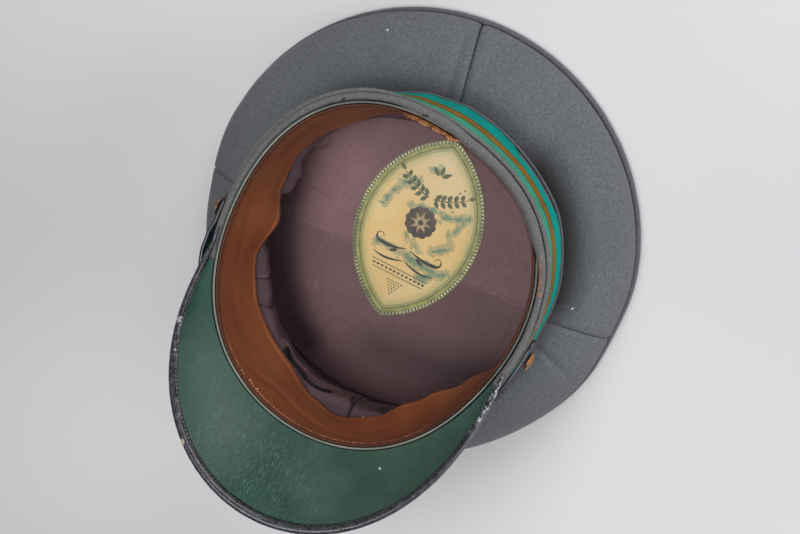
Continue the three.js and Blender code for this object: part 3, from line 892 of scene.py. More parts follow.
def ribbonFinish():
    material, tree = startFinish("tealRibbon")
    along, across = runOf(tree)
    width = band["height"] - band["weltRadius"] - band["footDepth"] - 2 * ribbon["margin"]
    share = sumOf(tree, "DIVIDE", across, width * mm)
    place = placeOf(tree)
    waver = noiseOf(tree, place, 55, 2.0)
    share = plus(tree, share, rangeOf(tree, waver, 0.3, 0.7, -0.02, 0.02))
    stripes = rampOf(tree, share, [(at, ribbon[colour]) for at, colour in ribbon["stripes"]])
    wave = sumOf(tree, "SINE", times(tree, along, 2 * math.pi / (ribbon["ribPitch"] * mm)))
    thread = noiseOf(tree, place, 900, 3.0, 0.7)
    dirt = noiseOf(tree, place, 60, 4.0, 0.6)
    shade = mottled(tree, stripes, thread, 0.25, 0.75, 0.72, 1.18)
    shade = mottled(tree, shade, dirt, 0.3, 0.65, 0.8, 1.08)
    height = plus(tree, times(tree, wave, 0.5), thread)
    return finished(material, shade, (height, 0.0001, 0.6), rough=0.65, specular=0.12)


def makeRibbon():
    angle = ringAngles(720)[:, None]
    share = np.linspace(0, 1, 24)[None, :]
    first = band["footDepth"] + ribbon["margin"]
    whole = band["height"] - band["weltRadius"] - ribbon["margin"] - first
    frayed = roundTable(ribbonFray, angle) + np.abs(ripple(9, angle, 0, (57, 91, 133, 177), 0.35))
    kept = ribbon["keptShare"]
    lost = frayed * np.clip((share - kept) / (1 - kept), 0, 1)
    depth = first + whole * share - lost
    wave = ripple(8, angle, depth, (17, 29, 43), 0.10, 25)
    out = bandFace(angle, depth) + seatGap + ribbon["thickness"] / 2 + wave
    middle = headInCap(angle + 0 * depth, out, -depth)
    sections, across = wallSections(middle, ribbon["thickness"] * 0.8, True, capSteps=2)
    piece = meshFromSections("ribbon_woven", sections, True, across)
    return dress(piece, ribbonFinish(), "teal_ribbon", "hat_ribbon")


makeBand()
makeHeadCord("band_cord_lower", roundTable(cordOut, cordAngles), roundTable(cordUp, cordAngles),
             roundTable(cordRadius, cordAngles), 14, 6, cordFinish(), "band_wool", "band_piping_lower")
makeHeadCord("band_welt_upper", roundTable(bandFlare, cordAngles) - band["weltIn"], -band["height"],
             band["weltRadius"], 10, 7, pipingWool, "piping_wool", "band_piping_upper")
makeRibbon()
print("band and ribbon sewn")

# sweatband

sweatband = {
    "depth": 41,
    "thickness": 1.3,
    "curl": 1.6,
    "gap": 1.1,
    "stations": 420,
    "steps": 34,
    "edgeStrip": 3.2,  # the strip along the free edge, painted lighter as lit, and the line pressed in it, with a pale painted highlight
    "pressedLine": 2.1,
    "torn": (78, 103),  # the angles between which the top edge is torn
    "stitchDepth": 2.3,
    "stitchPitch": 1.9,
    "stitchReach": 1.15,
    "threadRadius": 0.23,
    # how dark the leather is across it from the sewn edge: a thin painted shade beside the reed, then lighter
    # towards the free edge
    "darkerTowardsRim": ((0.0, 0.35), (0.014, 0.5), (0.030, 0.88), (0.30, 0.90), (0.55, 1.0), (0.85, 1.08)),
    "seamRound": 560,  # how long the sewn edge is
    "brown": (0.150, 0.040, 0.0165),
    "warm": (0.216, 0.060, 0.0205),
    "edge": (0.250, 0.075, 0.024),
    "ledge": (0.33, 0.14, 0.050),
    "pressed": (0.42, 0.16, 0.065),
}
# long soft creases in the leather: angle and depth of each point, then how deep and how wide
leatherCreases = (
    (((233, 12), (237, 13), (251, 21.5), (264, 19.5), (276, 16.5), (290, 9)), 1.0, 2.3),
    (((268, 27), (277, 23), (288, 21), (300, 24)), 0.55, 2.6),
    (((205, 18), (222, 22), (236, 30)), 0.6, 3.2),
    (((168, 14), (186, 20), (200, 27)), 0.7, 4.0),
    (((296, 12), (312, 15), (330, 11)), 0.45, 2.4),
)
sweatbandLean = ((8, 4.3), (60, 4.5), (108, 3.4), (126, 7), (150, 4.6), (165, 8), (179, 15.4), (195, 8.4),
                 (209, 10.4), (226, 13), (243, 14.4), (262, 8.6), (273, 5.8), (290, 10.4), (304, 16),
                 (316, 15.8), (331, 10.4), (347, 3.6))


def leatherMiddle(angle, depth):
    start = sweatband["gap"] + sweatband["thickness"] / 2
    share = np.clip(depth / sweatband["depth"], 0, 1) ** sweatband["curl"]
    return -(start + (roundTable(sweatbandLean, angle) - start) * share)


def leatherSurface(angle, depth):
    fold = ripple(11, angle, depth, (7, 11, 17), 0.30, 26) * np.clip(depth / 14, 0, 1)
    for points, deep, wide in leatherCreases:
        at = np.interp(angle, [row[0] for row in points], [row[1] for row in points])
        start, end = points[0][0], points[-1][0]
        inside = between(angle, start, end, 6, 6)
        fold = fold + deep * inside * np.exp(-((depth - at) / wide) ** 2)
    # a torn length of the top edge curls inward at the back
    torn = between(angle, *sweatband["torn"], 2, 4)
    curl = torn * 1.5 * np.clip(1 - (depth + 1) / 4.0, 0, 1.2)
    out = leatherMiddle(angle, depth) + fold - curl
    return headInCap(angle, out, -depth)


def leatherFinish():
    row = sweatband
    material, tree = startFinish("sweatbandLeather")
    across = runOf(tree)[1]
    place = placeOf(tree)
    measured = placeOf(tree, "UV")
    cloud = noiseOf(tree, place, 16, 4.0, 0.5, 0.3)
    streak = noiseOf(tree, stretched(tree, measured, (14, 75, 1)), 1.0, 3.0, 0.45, 0.8)
    grain = noiseOf(tree, place, 1300, 3.0, 0.6)
    tone = rampOf(tree, cloud, ((0.30, row["brown"]), (0.70, row["warm"])))
    streaks = rampOf(tree, streak, ((0.28, grey(0.62)), (0.45, grey(0.95)), (0.72, grey(1.15))))
    tone = mixOf(tree, 0.5, tone, streaks, "MULTIPLY")
    # darker along the sewn edge, with a thin painted shade right beside the reed, and lighter towards the
    # free edge
    darkerTowardsRim = rampOf(tree, times(tree, across, 20.0), [(at, grey(level)) for at, level in row["darkerTowardsRim"]])
    tone = mixOf(tree, 1.0, tone, darkerTowardsRim, "MULTIPLY")
    # the frayed top edge at the back
    torn = times(tree, nearLine(tree, place, (-8, 84), (18, 79), 8.0, 0.5),
                 rangeOf(tree, across, 0.0026, 0.0040, 1.0, 0.0))
    chips = rangeOf(tree, noiseOf(tree, place, 330, 3.0, 0.7), 0.42, 0.56)
    tone = mixOf(tree, times(tree, torn, chips), tone, row["ledge"])
    # painted light: the strip along the free edge is painted lighter, as lit, and the pressed line in it gets
    # a pale painted highlight
    length = row["depth"] * 1.03 * mm
    stripAt = length - row["edgeStrip"] * mm
    strip = rangeOf(tree, across, stripAt - 0.5 * mm, stripAt + 0.5 * mm)
    tone = mixOf(tree, times(tree, strip, 0.35), tone, row["edge"])
    line = awayFrom(tree, across, length - row["pressedLine"] * mm)
    pressed = rangeOf(tree, line, 0.00015, 0.00050, 1.0, 0.0)
    patchy = rangeOf(tree, noiseOf(tree, place, 60, 3.0, 0.6), 0.40, 0.60, 0.15, 0.9)
    tone = mixOf(tree, times(tree, pressed, patchy), tone, row["pressed"])
    rough = rangeOf(tree, streak, 0.3, 0.7, 0.56, 0.42)
    height = minus(tree, plus(tree, times(tree, grain, 0.3), streak), pressed)
    return finished(material, tone, (height, 0.00016, 0.5), rough=rough, specular=0.35)


def makeSweatband():
    row = sweatband
    angle = ringAngles(row["stations"])[:, None]
    share = np.concatenate([np.linspace(0, 0.14, 9), np.linspace(0.14, 1, row["steps"] - 8)[1:]])[None, :]
    torn = between(angle, *row["torn"], 3, 3)
    ragged = roundTable(lipUp, angle) + np.abs(ripple(12, angle, 0, (67, 101, 139), 0.9)) * torn
    depth = -ragged + (row["depth"] + ragged) * share
    middle = leatherSurface(angle + 0 * depth, depth)
    sections, across = wallSections(middle, row["thickness"], True)
    across = across * (row["depth"] * 1.03 / across.max())
    piece = meshFromSections("sweatband_leather", sections, True, across)
    return dress(piece, leatherFinish(), "brown_leather", "sweatband")


def threadFinish(name, pale, dark, rough=0.6):
    material, tree = startFinish(name)
    place = placeOf(tree)
    wear = noiseOf(tree, place, 160, 3.0, 0.6)
    twist = noiseOf(tree, stretched(tree, place, (1, 1, 3)), 2600, 2.0)
    tone = rampOf(tree, wear, ((0.35, dark), (0.62, pale)))
    tone = mixOf(tree, 0.6, tone, rampOf(tree, twist, ((0.3, grey(0.6)), (0.7, grey(1.2)))), "MULTIPLY")
    return finished(material, tone, (twist, 0.00005, 0.5), rough=rough)


def makeSweatbandStitches():
    row = sweatband
    count = int(round(row["seamRound"] / row["stitchPitch"])) * 2
    angle = ringAngles(count)
    depth = row["stitchDepth"] + row["stitchReach"] * np.where(np.arange(count) % 2 == 0, -1, 1)
    lift = -headOutward(angle)
    holes = leatherSurface(angle, depth) + lift * (row["thickness"] / 2 + 0.12)
    step = np.roll(holes, -1, 0) - holes
    piece = capsules("sweatband_zigzag", holes + step * 0.08, holes + step * 0.92, row["threadRadius"], lift)
    finish = threadFinish("zigzagThread", (0.135, 0.045, 0.022), (0.085, 0.028, 0.014))
    tree, tone = takenUp(finish)
    place = placeOf(tree)
    # painted light: along the front, patches of the stitches are painted as lit orange dots
    front = rangeOf(tree, partsOf(tree, place)[1], -0.058, -0.078)
    wear = rangeOf(tree, noiseOf(tree, place, 240, 3.0, 0.6), 0.36, 0.56)
    tone = mixOf(tree, times(tree, front, wear), tone, (0.47, 0.22, 0.12))
    return dress(piece, finished(finish, tone), "brown_leather")


def makeGlintingThreads():
    # a few thread ends that stand up near the rim, and one at the free edge, all painted bright as glints of
    # light
    spots = ((241.4, 2.6, 0.50), (242.6, 2.9, 0.42), (245.7, 2.5, 0.55), (284.5, 40.4, 0.32))
    starts, ends, lifts, radii = [], [], [], []
    for at, depth, radius in spots:
        lift = -headOutward(at)
        base = leatherSurface(at, depth) + lift * (sweatband["thickness"] / 2)
        starts.append(base)
        ends.append(base + lift * 0.5 + np.array((0.25, 0.3, 0.5)))
        lifts.append(lift)
        radii.append(radius)
    piece = capsules("sweatband_glinting_threads", starts, ends, np.array(radii), lifts)
    return dress(piece, threadFinish("glintingThread", (0.80, 0.47, 0.22), (0.55, 0.30, 0.14)), "brown_leather")


def reedFinish():
    material, tree = startFinish("reedCloth")
    place = placeOf(tree)
    weave = noiseOf(tree, place, 1700, 2.0, 0.6)
    dirt = noiseOf(tree, place, 40, 3.0, 0.6)
    tone = rampOf(tree, weave, ((0.3, (0.15, 0.165, 0.14)), (0.7, (0.24, 0.26, 0.22))))
    tone = mottled(tree, tone, dirt, 0.3, 0.7, 0.7, 1.1)
    tone = shaded(tree, tone, 1.0, 0.42, nearLine(tree, place, (89, -30), (82, 38), 14, 0.5))
    tone = shaded(tree, tone, 1.0, 0.60, nearLine(tree, place, (-52, 72), (-10, 84), 14, 0.6))
    return finished(material, tone, (weave, 0.00008, 0.7), rough=0.7)


makeSweatband()
makeSweatbandStitches()
makeGlintingThreads()
makeHeadCord("sweatband_piping", -0.15, roundTable(reedUp, cordAngles), 0.62, 12, 9, reedFinish(),
             "reed_cloth", "sweatband_reed", 0.02)
print("sweatband sewn")

# satin lining

lining = {
    "thickness": 0.9,
    "clearance": 1,
    "radius": 103,
    "y": -4,
    "floor": 4.8,
    "tipInset": 1.1,
    "start": 21,
    "hang": 31,
    "turn": 1.5,
    "drop": 6.5,
    "sag": 0.15,
    "spread": 1.5,
    "mauve": (0.160, 0.093, 0.102),
    "shadowed": (0.066, 0.037, 0.044),  # the side lining: the same mauve painted darker, as a shaded copy
    "sideCut": (0.647, 0.0667),  # the strip and the disc as they were cut, in metres
    "tipCut": (0.2038, 0.2038),
    "tipArea": 0.0329,
    "stations": 480,
    "shares": ((0, 0.30, 9), (0.30, 0.60, 40), (0.60, 1.0, 15)),
    # folds across the side lining: at what angle, how deep, how many degrees wide
    "sideFolds": ((160.5, 0.9, 1.6), (204.4, 1.6, 1.5), (216, 1.9, 2.2), (231, 0.8, 1.8), (277.6, 3.6, 0.9),
                  (287, 0.5, 1.5)),
    # the long crease right across the tip, point by point
    "tipCrease": ((-72, -20.4), (-28, -18.4), (40, -13.4), (76, -16.0)),
    # painted shade along creases, a pale smudge and a broad painted shade on the tip: from, to, half width,
    # how soft, how dark or light
    "tipLines": (((-69.4, 2.2), (-55.5, 0.2), 0.6, 0.8, 0.72), ((-77, 20), (-66, 30), 1.6, 0.8, 0.72),
                 ((-47, -51), (-45.5, -55), 2.4, 0.9, 1.22), ((5, -74), (62, -66), 24, 0.95, 0.57)),
    # the deep shade beside the side lining: points along it, half width, how soft, how dark
    "tipShade": (((-80, 2), (-75, -30), (-64, -58), (-50, -78), (-38, -88)), 12.5, 0.80, 0.46),
    # the folds' painted shade and light on the side lining, in the same way
    "sideLines": (((-69.5, -47.9), (-61.5, -45.7), 0.7, 0.7, 0.30),
                  ((-68.5, -46.2), (-61, -44.2), 0.9, 0.8, 1.35),
                  ((-61, -60.4), (-54, -61), 0.7, 0.7, 0.35), ((-14, -94), (9.5, -92.2), 3.0, 0.4, 1.30),
                  ((11.2, -90.6), (11.4, -98), 0.8, 0.6, 0.18), ((9.4, -89), (29, -87.2), 2.6, 0.8, 0.30),
                  ((12.5, -94.2), (27, -91.5), 2.0, 0.5, 1.25)),
    # the taut pleat over its narrow dark gap: where the gap runs, how deep it is, and the ridge over it
    "pleat": {"gap": (238, 267), "run": 28, "share": 0.452, "climb": 0.050, "notch": 1.6,
              "ridge": 1.2, "ridgeOver": 0.062, "ridgeRun": (230, 274)},
    "gathers": (128, 184),  # the angles between which the tip is gathered at its edge
    "inSight": (0.27, 0.66),  # the shares of the side lining that the folds cross
    # its painted shade in the gap and painted highlights on the ridge: from angle and share, to angle and
    # share, half width, how soft, how dark
    "pleatLines": ((237.5, 0.448, 252, 0.478, 3.0, 0.35, 0.06), (252, 0.478, 266, 0.506, 2.0, 0.5, 0.08),
                   (233, 0.500, 250, 0.532, 1.3, 0.6, 1.7), (250, 0.532, 269, 0.566, 1.2, 0.6, 1.6),
                   (236, 0.400, 250, 0.428, 1.2, 0.7, 1.6)),
}
liningBelly = ((0, 4), (60, 5), (120, 6), (140, 6), (152, 7.5), (159, 12.8), (165, 12.8), (169, 8.5),
               (178, 9), (189, 9.5), (196, 14), (204, 16.4), (214, 17.2), (224, 17.6), (234, 17.2),
               (244, 15.4), (256, 14.6), (266, 15.0), (277.5, 16.6), (280, 13.4), (290, 13.6), (296, 12),
               (312, 10), (336, 6))


def liningPoint(angle, inset, up):
    return crownOutward(angle) * (lining["radius"] - inset) + stack(0.0, lining["y"], up)


def behindLeather(angle, depth):
    return leatherMiddle(angle, depth) + sweatband["thickness"] / 2 + lining["clearance"]


def liningRows(angle):
    row = lining
    belly = roundTable(liningBelly, angle)
    hung = headInCap(angle, -belly, -sweatband["depth"] - row["drop"])
    foot = liningPoint(angle, 0, row["floor"] + row["thickness"] / 2)
    outward = crownOutward(angle)
    return np.stack([
        headInCap(angle, behindLeather(angle, row["start"]), -row["start"]),
        headInCap(angle, behindLeather(angle, row["hang"]), -row["hang"]),
        headInCap(angle, behindLeather(angle, sweatband["depth"]), -sweatband["depth"] - row["turn"]),
        hung,
        hung + (foot - hung) * 0.35 - outward * (row["sag"] * belly)[:, None],
        hung + (foot - hung) * 0.8 + outward * row["spread"],
        foot,
    ], 1)


def smoothColumns(rows, shares):
    # a smooth line through each column of fixed points
    count = rows.shape[1]
    padded = np.concatenate([2 * rows[:, :1] - rows[:, 1:2], rows, 2 * rows[:, -1:] - rows[:, -2:-1]], 1)
    at = shares * (count - 1)
    step = np.minimum(at.astype(int), count - 2)
    t = (at - step)[None, :, None]
    a, b, c, d = (padded[:, step + k] for k in range(4))
    return 0.5 * (2 * b + (c - a) * t + (2 * a - 5 * b + 4 * c - d) * t ** 2
                  + (3 * b - a - 3 * c + d) * t ** 3)


def satinFinish(name, colour, onTip=False, pleats=()):
    row = lining
    material, tree = startFinish(name)
    place = placeOf(tree)
    thread = noiseOf(tree, stretched(tree, place, (1, 0.07, 1)), 1500, 2.0, 0.6)
    cross = noiseOf(tree, stretched(tree, place, (0.07, 1, 1)), 1500, 2.0, 0.6)
    cloud = noiseOf(tree, place, 20, 5.0, 0.6, 0.5)
    crumple = noiseOf(tree, place, 330, 4.0, 0.65, 0.4)
    weave = plus(tree, times(tree, thread, 0.5), times(tree, cross, 0.5))
    dark, light = (tuple(share * level for level in colour) for share in (0.80, 1.20))
    tone = mixOf(tree, 0.35, colour, rampOf(tree, weave, ((0.35, dark), (0.65, light))))
    wash = rampOf(tree, cloud, ((0.3, (0.88, 0.87, 0.89)), (0.68, (1.08, 1.06, 1.05))))
    tone = mixOf(tree, 1.0, tone, wash, "MULTIPLY")
    tone = mottled(tree, tone, crumple, 0.3, 0.7, 0.92, 1.08)
    height = plus(tree, times(tree, weave, 0.25), times(tree, cloud, 1.4))
    if onTip:
        # painted light towards the wearer's left, painted shade towards the back and past the long crease
        x, y = partsOf(tree, place)[:2]
        tone = shaded(tree, tone, 1.50, 1.04, rangeOf(tree, x, -0.064, 0.060))
        tone = shaded(tree, tone, 1.0, 0.74, rangeOf(tree, y, 0.024, 0.062))
        fromCrease = minus(tree, y, minus(tree, times(tree, x, 0.05), 0.0166))
        tone = shaded(tree, tone, 0.78, 1.0, rangeOf(tree, fromCrease, -0.0035, 0.0012))
        crease = row["tipCrease"]
        broken = rangeOf(tree, noiseOf(tree, place, 75, 3.0, 0.6), 0.42, 0.56)
        # painted highlight along the long crease, brightest on its last length
        for start, end in zip(crease[:-1], crease[1:]):
            line = times(tree, nearLine(tree, place, start, end, 0.9, 0.8), broken)
            tone = shaded(tree, tone, 1.0, 1.45 if start[0] > 0 else 1.14, line)
            height = plus(tree, height, line)
        scuff = times(tree, nearLine(tree, place, (44, -6), (72, 4), 17, 0.6),
                      rangeOf(tree, crumple, 0.56, 0.68))
        tone = mixOf(tree, times(tree, scuff, 0.22), tone, (0.26, 0.19, 0.20))
        points, width, soft, level = row["tipShade"]
        deep = 0.0
        for start, end in zip(points[:-1], points[1:]):
            deep = sumOf(tree, "MAXIMUM", deep, nearLine(tree, place, start, end, width, soft))
        tone = shaded(tree, tone, 1.0, level, deep)
    tone = lined(tree, tone, place, row["tipLines" if onTip else "sideLines"])
    if pleats:
        tone = lined(tree, tone, placeOf(tree, "UV"), pleats)
    return finished(material, tone, (height, 0.0007, 0.35), rough=0.55, specular=0.2, sheen=0.04,
                    sheenRough=0.35)


def liningFold(angle, share):
    # how far the side lining stands inward of its hung line, in mm
    inward = ripple(13, angle, share * 30, (9, 14, 23), 0.30, 14) * np.sin(np.pi * share) ** 0.7
    visible = between(share, *lining["inSight"], 0.08, 0.12)
    for at, deep, wide in lining["sideFolds"]:
        inward = inward - deep * visible * np.exp(-(((angle - at + 180) % 360 - 180) / wide) ** 2)
    pleat = lining["pleat"]
    fromGap = share - (pleat["share"] + (angle - pleat["gap"][0]) / pleat["run"] * pleat["climb"])
    gapHere = between(angle, *pleat["gap"], 5, 5)
    inward = inward - pleat["notch"] * gapHere * np.exp(-(fromGap / 0.030) ** 2)
    ridgeHere = between(angle, *pleat["ridgeRun"], 8, 6)
    return inward + pleat["ridge"] * ridgeHere * np.exp(-((fromGap - pleat["ridgeOver"]) / 0.026) ** 2)


def makeLiningSide():
    row = lining
    angle = ringAngles(row["stations"])
    shares = np.concatenate([np.linspace(a, b, n, endpoint=b == 1) for a, b, n in row["shares"]])
    middle = smoothColumns(liningRows(angle), shares)
    middle = middle - headOutward(angle)[:, None] * liningFold(angle[:, None], shares[None, :])[..., None]
    middle[:, :, 2] = np.maximum(middle[:, :, 2], row["floor"] + row["thickness"] / 2)
    sections, across = wallSections(middle, row["thickness"], True, capSteps=2)
    along = roundLength(middle.mean(1))
    piece = meshFromSections("lining_side_satin", sections, True, across, along)
    turns = np.append(angle, 360.0)
    pleats = []
    for fromAngle, fromShare, toAngle, toShare, *look in row["pleatLines"]:
        ends = [(np.interp(at, turns, along), np.interp(down, shares, across[:len(shares)]))
                for at, down in ((fromAngle, fromShare), (toAngle, toShare))]
        pleats.append((*ends, *look))
    dress(piece, satinFinish("sideSatin", row["shadowed"], False, pleats), "mauve_satin", "lining_side")


def tipRing(angle, share, up):
    inset = lining["radius"] - (lining["radius"] - lining["tipInset"]) * share
    return liningPoint(angle, inset, up)


def makeLiningTip():
    row = lining
    angle = ringAngles(360)
    rings = []
    turn = np.radians(angle)
    gatherHere = between(angle, *row["gathers"], 12, 12)
    for share in np.concatenate([np.linspace(0.02, 0.7, 22), np.linspace(0.7, 1, 30)[1:]]):
        wave = ripple(17, angle, share * 60, (2, 3, 5, 8), 0.22, 18) * np.sin(np.pi * share)
        gathers = 0.22 * np.sin(turn * 61) + 0.16 * np.sin(turn * 97 + share * 9)
        wave = np.minimum(wave, 0.2) + gatherHere * gathers * np.clip((share - 0.72) / 0.2, 0, 1)
        rings.append(tipRing(angle, share, row["floor"] + row["thickness"] + wave))
    rings += [tipRing(angle, share, row["floor"]) for share in (1.0, 0.6, 0.02)]
    piece = meshFromSections("lining_tip_satin", np.stack(rings, 1), True, crease=60)
    dress(piece, satinFinish("tipSatin", row["mauve"], True), "mauve_satin", "lining_tip")


makeLiningSide()
makeLiningTip()
print("lining sewn")

# label

label = {
    "halfLength": 58.2,
    "halfWidth": 37.8,
    "border": 4.2,
    "thickness": 0.4,
    "x": 0.9,
    "y": 3.5,
    "turn": -3.3,
    "cream": (0.83, 0.535, 0.165),
    "pale": (0.86, 0.66, 0.30),
    "yellowGreen": (0.37, 0.40, 0.10),
    "stain": (0.090, 0.225, 0.125),
    "ink": (0.016, 0.013, 0.012),
    "olive": (0.075, 0.095, 0.040),
    "brownInk": (0.048, 0.034, 0.027),
    "darkGreen": (0.040, 0.045, 0.016),
    "borderOlive": (0.37, 0.38, 0.09),
    "dash": (0.68, 0.66, 0.40),
    "dashPitch": 2.25,
    # greenish stains that ran from the print: from, to, half width
    "stains": (((-21, 21), (-12, 27), 6), ((-23, 15), (-15, 24), 5), ((11, 13), (24, 18), 6.5),
               ((20, 6), (24, 16), 5), ((-18, -16), (20, -20), 6.5), ((-5, -6), (6, -12), 5),
               ((12, -26), (25, -18), 5.5), ((-6, 36), (-2, 38), 5), ((-25, 6), (-22, 18), 5),
               ((14, -8), (23, -2), 5), ((-9, 12), (9, 15), 4)),
    "inkFoot": 0.01,
    "inkTop": 0.06,
    "rosetteY": 4.5,
    "thinLines": (0.0004, 0.0014),  # two lines printed inside the border, in metres from the field's edge
    "specks": ((14.2, 30.5), (17.1, 26.2), (16.2, 33.0), (15.0, 22.8)),
}


def labelToCap(x, y, up):
    turn = math.radians(label["turn"])
    base = lining["floor"] + lining["thickness"] + seatGap
    return stack(label["x"] + x * math.cos(turn) - y * math.sin(turn),
                 label["y"] + x * math.sin(turn) + y * math.cos(turn), base + up)


def labelArc(inset):
    radius = (label["halfLength"] ** 2 + label["halfWidth"] ** 2) / (2 * label["halfWidth"])
    centre = radius - label["halfWidth"]
    return centre, radius - inset


def labelHalf(y, inset):
    # half the label's width at y, inset from its edge
    centre, radius = labelArc(inset)
    return np.sqrt(np.maximum(radius ** 2 - np.asarray(y) ** 2, centre ** 2)) - centre


def labelSpot(x, y):
    # a place on the label, in the cap's own mm
    spot = labelToCap(x, y, 0.0)
    return float(spot[..., 0]), float(spot[..., 1])


def labelFinish():
    material, tree = startFinish("labelOilcloth")
    place = placeOf(tree)
    along, across = runOf(tree)
    cloud = noiseOf(tree, place, 24, 4.0, 0.5, 0.6)
    base = rampOf(tree, cloud, ((0.36, label["cream"]), (0.72, label["pale"])))
    base = mixOf(tree, rangeOf(tree, along, 0.008, 0.050, 0.0, 0.55), base, (0.70, 0.60, 0.40))
    rimShare = rangeOf(tree, across, 0.0, 0.0062, 1.0, 0.0)
    blotch = noiseOf(tree, place, 60, 4.0, 0.6, 0.9)
    rim = times(tree, rimShare, rampOf(tree, blotch, ((0.3, grey(0.45)), (0.65, grey(1.0)))))
    tone = mixOf(tree, rim, base, label["yellowGreen"])
    patches = noiseOf(tree, place, 88, 5.0, 0.62, 1.8)
    near = 0.0
    for start, end, width in label["stains"]:
        stain = nearLine(tree, place, labelSpot(*start), labelSpot(*end), width, 0.95)
        near = sumOf(tree, "MAXIMUM", near, stain)
    wet = rangeOf(tree, plus(tree, times(tree, near, 0.40), patches), 0.70, 0.93)
    # strongest at the drying line round each stain
    ring = rampOf(tree, wet, ((0.0, grey(0)), (0.12, grey(0.45)), (0.22, grey(0.68)), (0.36, grey(0.36)),
                              (0.7, grey(0.60)), (1.0, grey(0.92))))
    tone = mixOf(tree, ring, tone, label["stain"])
    for x, y in label["specks"]:
        speck = nearLine(tree, place, labelSpot(x, y), labelSpot(x + 0.2, y + 0.3), 0.75, 0.6)
        tone = mixOf(tree, speck, tone, (0.22, 0.13, 0.05))
    # painted shade towards the label's lower pointed end
    tone = shaded(tree, tone, 0.84, 1.0, rangeOf(tree, along, -0.046, -0.012))
    for at in label["thinLines"]:
        thin = rangeOf(tree, awayFrom(tree, across, at), 0.00012, 0.00034, 1.0, 0.0)
        tone = mixOf(tree, times(tree, thin, 0.75), tone, label["olive"])
    crinkle = noiseOf(tree, place, 240, 4.0, 0.6, 0.6)
    return finished(material, tone, (crinkle, 0.00015, 0.35), rough=0.42)


def borderFinish():
    material, tree = startFinish("labelBorder")
    along, across = runOf(tree)
    place = placeOf(tree)
    cycle = sumOf(tree, "FRACT", sumOf(tree, "DIVIDE", along, label["dashPitch"] * mm))
    inDash = rangeOf(tree, awayFrom(tree, cycle, 0.5), 0.24, 0.31, 1.0, 0.0)
    fromRow = awayFrom(tree, across, 0.0012)
    inRow = rangeOf(tree, fromRow, 0.00050, 0.00072, 1.0, 0.0)
    wear = noiseOf(tree, place, 170, 3.0, 0.6)
    fade = rangeOf(tree, noiseOf(tree, place, 24, 3.0, 0.5), 0.40, 0.56, 0.25, 1.0)
    ground = rampOf(tree, wear, ((0.40, label["darkGreen"]), (0.72, (0.085, 0.095, 0.030))))
    field = rampOf(tree, wear, ((0.35, (0.20, 0.22, 0.045)), (0.66, label["borderOlive"])))
    inGround = rangeOf(tree, fromRow, 0.00075, 0.00105, 1.0, 0.0)
    tone = mixOf(tree, inGround, field, ground)
    cream = rampOf(tree, wear, ((0.3, (0.40, 0.42, 0.20)), (0.55, label["dash"])))
    dash = times(tree, times(tree, inDash, inRow), fade)
    tone = mixOf(tree, dash, tone, cream)
    return finished(material, tone, (wear, 0.00012, 0.4), rough=0.45)


def plateFromGrid(name, flatX, flatY, across, along, ringed=False):
    top = labelToCap(flatX, flatY, label["thickness"])
    bottom = labelToCap(flatX, flatY, 0.0)
    sections = np.concatenate([top, bottom[:, ::-1]], 1)
    return meshFromSections(name, sections, ringed, np.concatenate([across, across[::-1]]), along, 30)


def makeLabel():
    inset = label["border"] + seatGap
    centre, radius = labelArc(inset)
    tip = math.sqrt(radius ** 2 - centre ** 2)
    y = np.sin(np.linspace(-np.pi / 2, np.pi / 2, 90)) * tip * 0.9995
    side = np.sin(np.linspace(-np.pi / 2, np.pi / 2, 41))
    half = labelHalf(y, inset)
    flatX = half[:, None] * side[None, :]
    piece = plateFromGrid("label_face", flatX, y[:, None] + 0 * flatX, np.zeros(len(side)), y)
    # v measures how far each corner is from the label's edge
    mesh = piece.data
    spots = np.zeros(len(mesh.vertices) * 3, np.float32)
    mesh.vertices.foreach_get("co", spots)
    spots = spots.reshape(-1, 3) / mm
    turn = math.radians(label["turn"])
    dx, dy = spots[:, 0] - label["x"], spots[:, 1] - label["y"]
    localX = dx * math.cos(turn) + dy * math.sin(turn)
    localY = -dx * math.sin(turn) + dy * math.cos(turn)
    fromEdge = radius - np.hypot(np.abs(localX) + centre, localY)
    loops = np.zeros(len(mesh.loops), np.int32)
    mesh.loops.foreach_get("vertex_index", loops)
    uvs = np.stack([localY[loops], fromEdge[loops]], -1) * mm
    mesh.uv_layers["measured"].data.foreach_set("uv", uvs.astype(np.float32).ravel())
    return dress(piece, labelFinish(), "label_oilcloth", "label")


def makeLabelBorder():
    rows = []
    steps = 110
    shares = np.array([0.0, 0.25, 0.5, 0.75, 1.0])
    for side in (1, -1):
        columns = []
        for share in shares:
            centre, radius = labelArc(share * label["border"])
            half = math.acos(centre / radius)
            turn = np.linspace(-half, half, steps)[:-1] * side
            columns.append(np.stack([side * (radius * np.cos(turn) - centre), radius * np.sin(turn)], -1))
        rows.append(np.stack(columns, 1))
    flat = np.concatenate(rows)
    along = roundLength(flat[:, 0])
    piece = plateFromGrid("label_edging", flat[..., 0], flat[..., 1], shares * label["border"], along, True)
    return dress(piece, borderFinish(), "label_edge", "label_border")


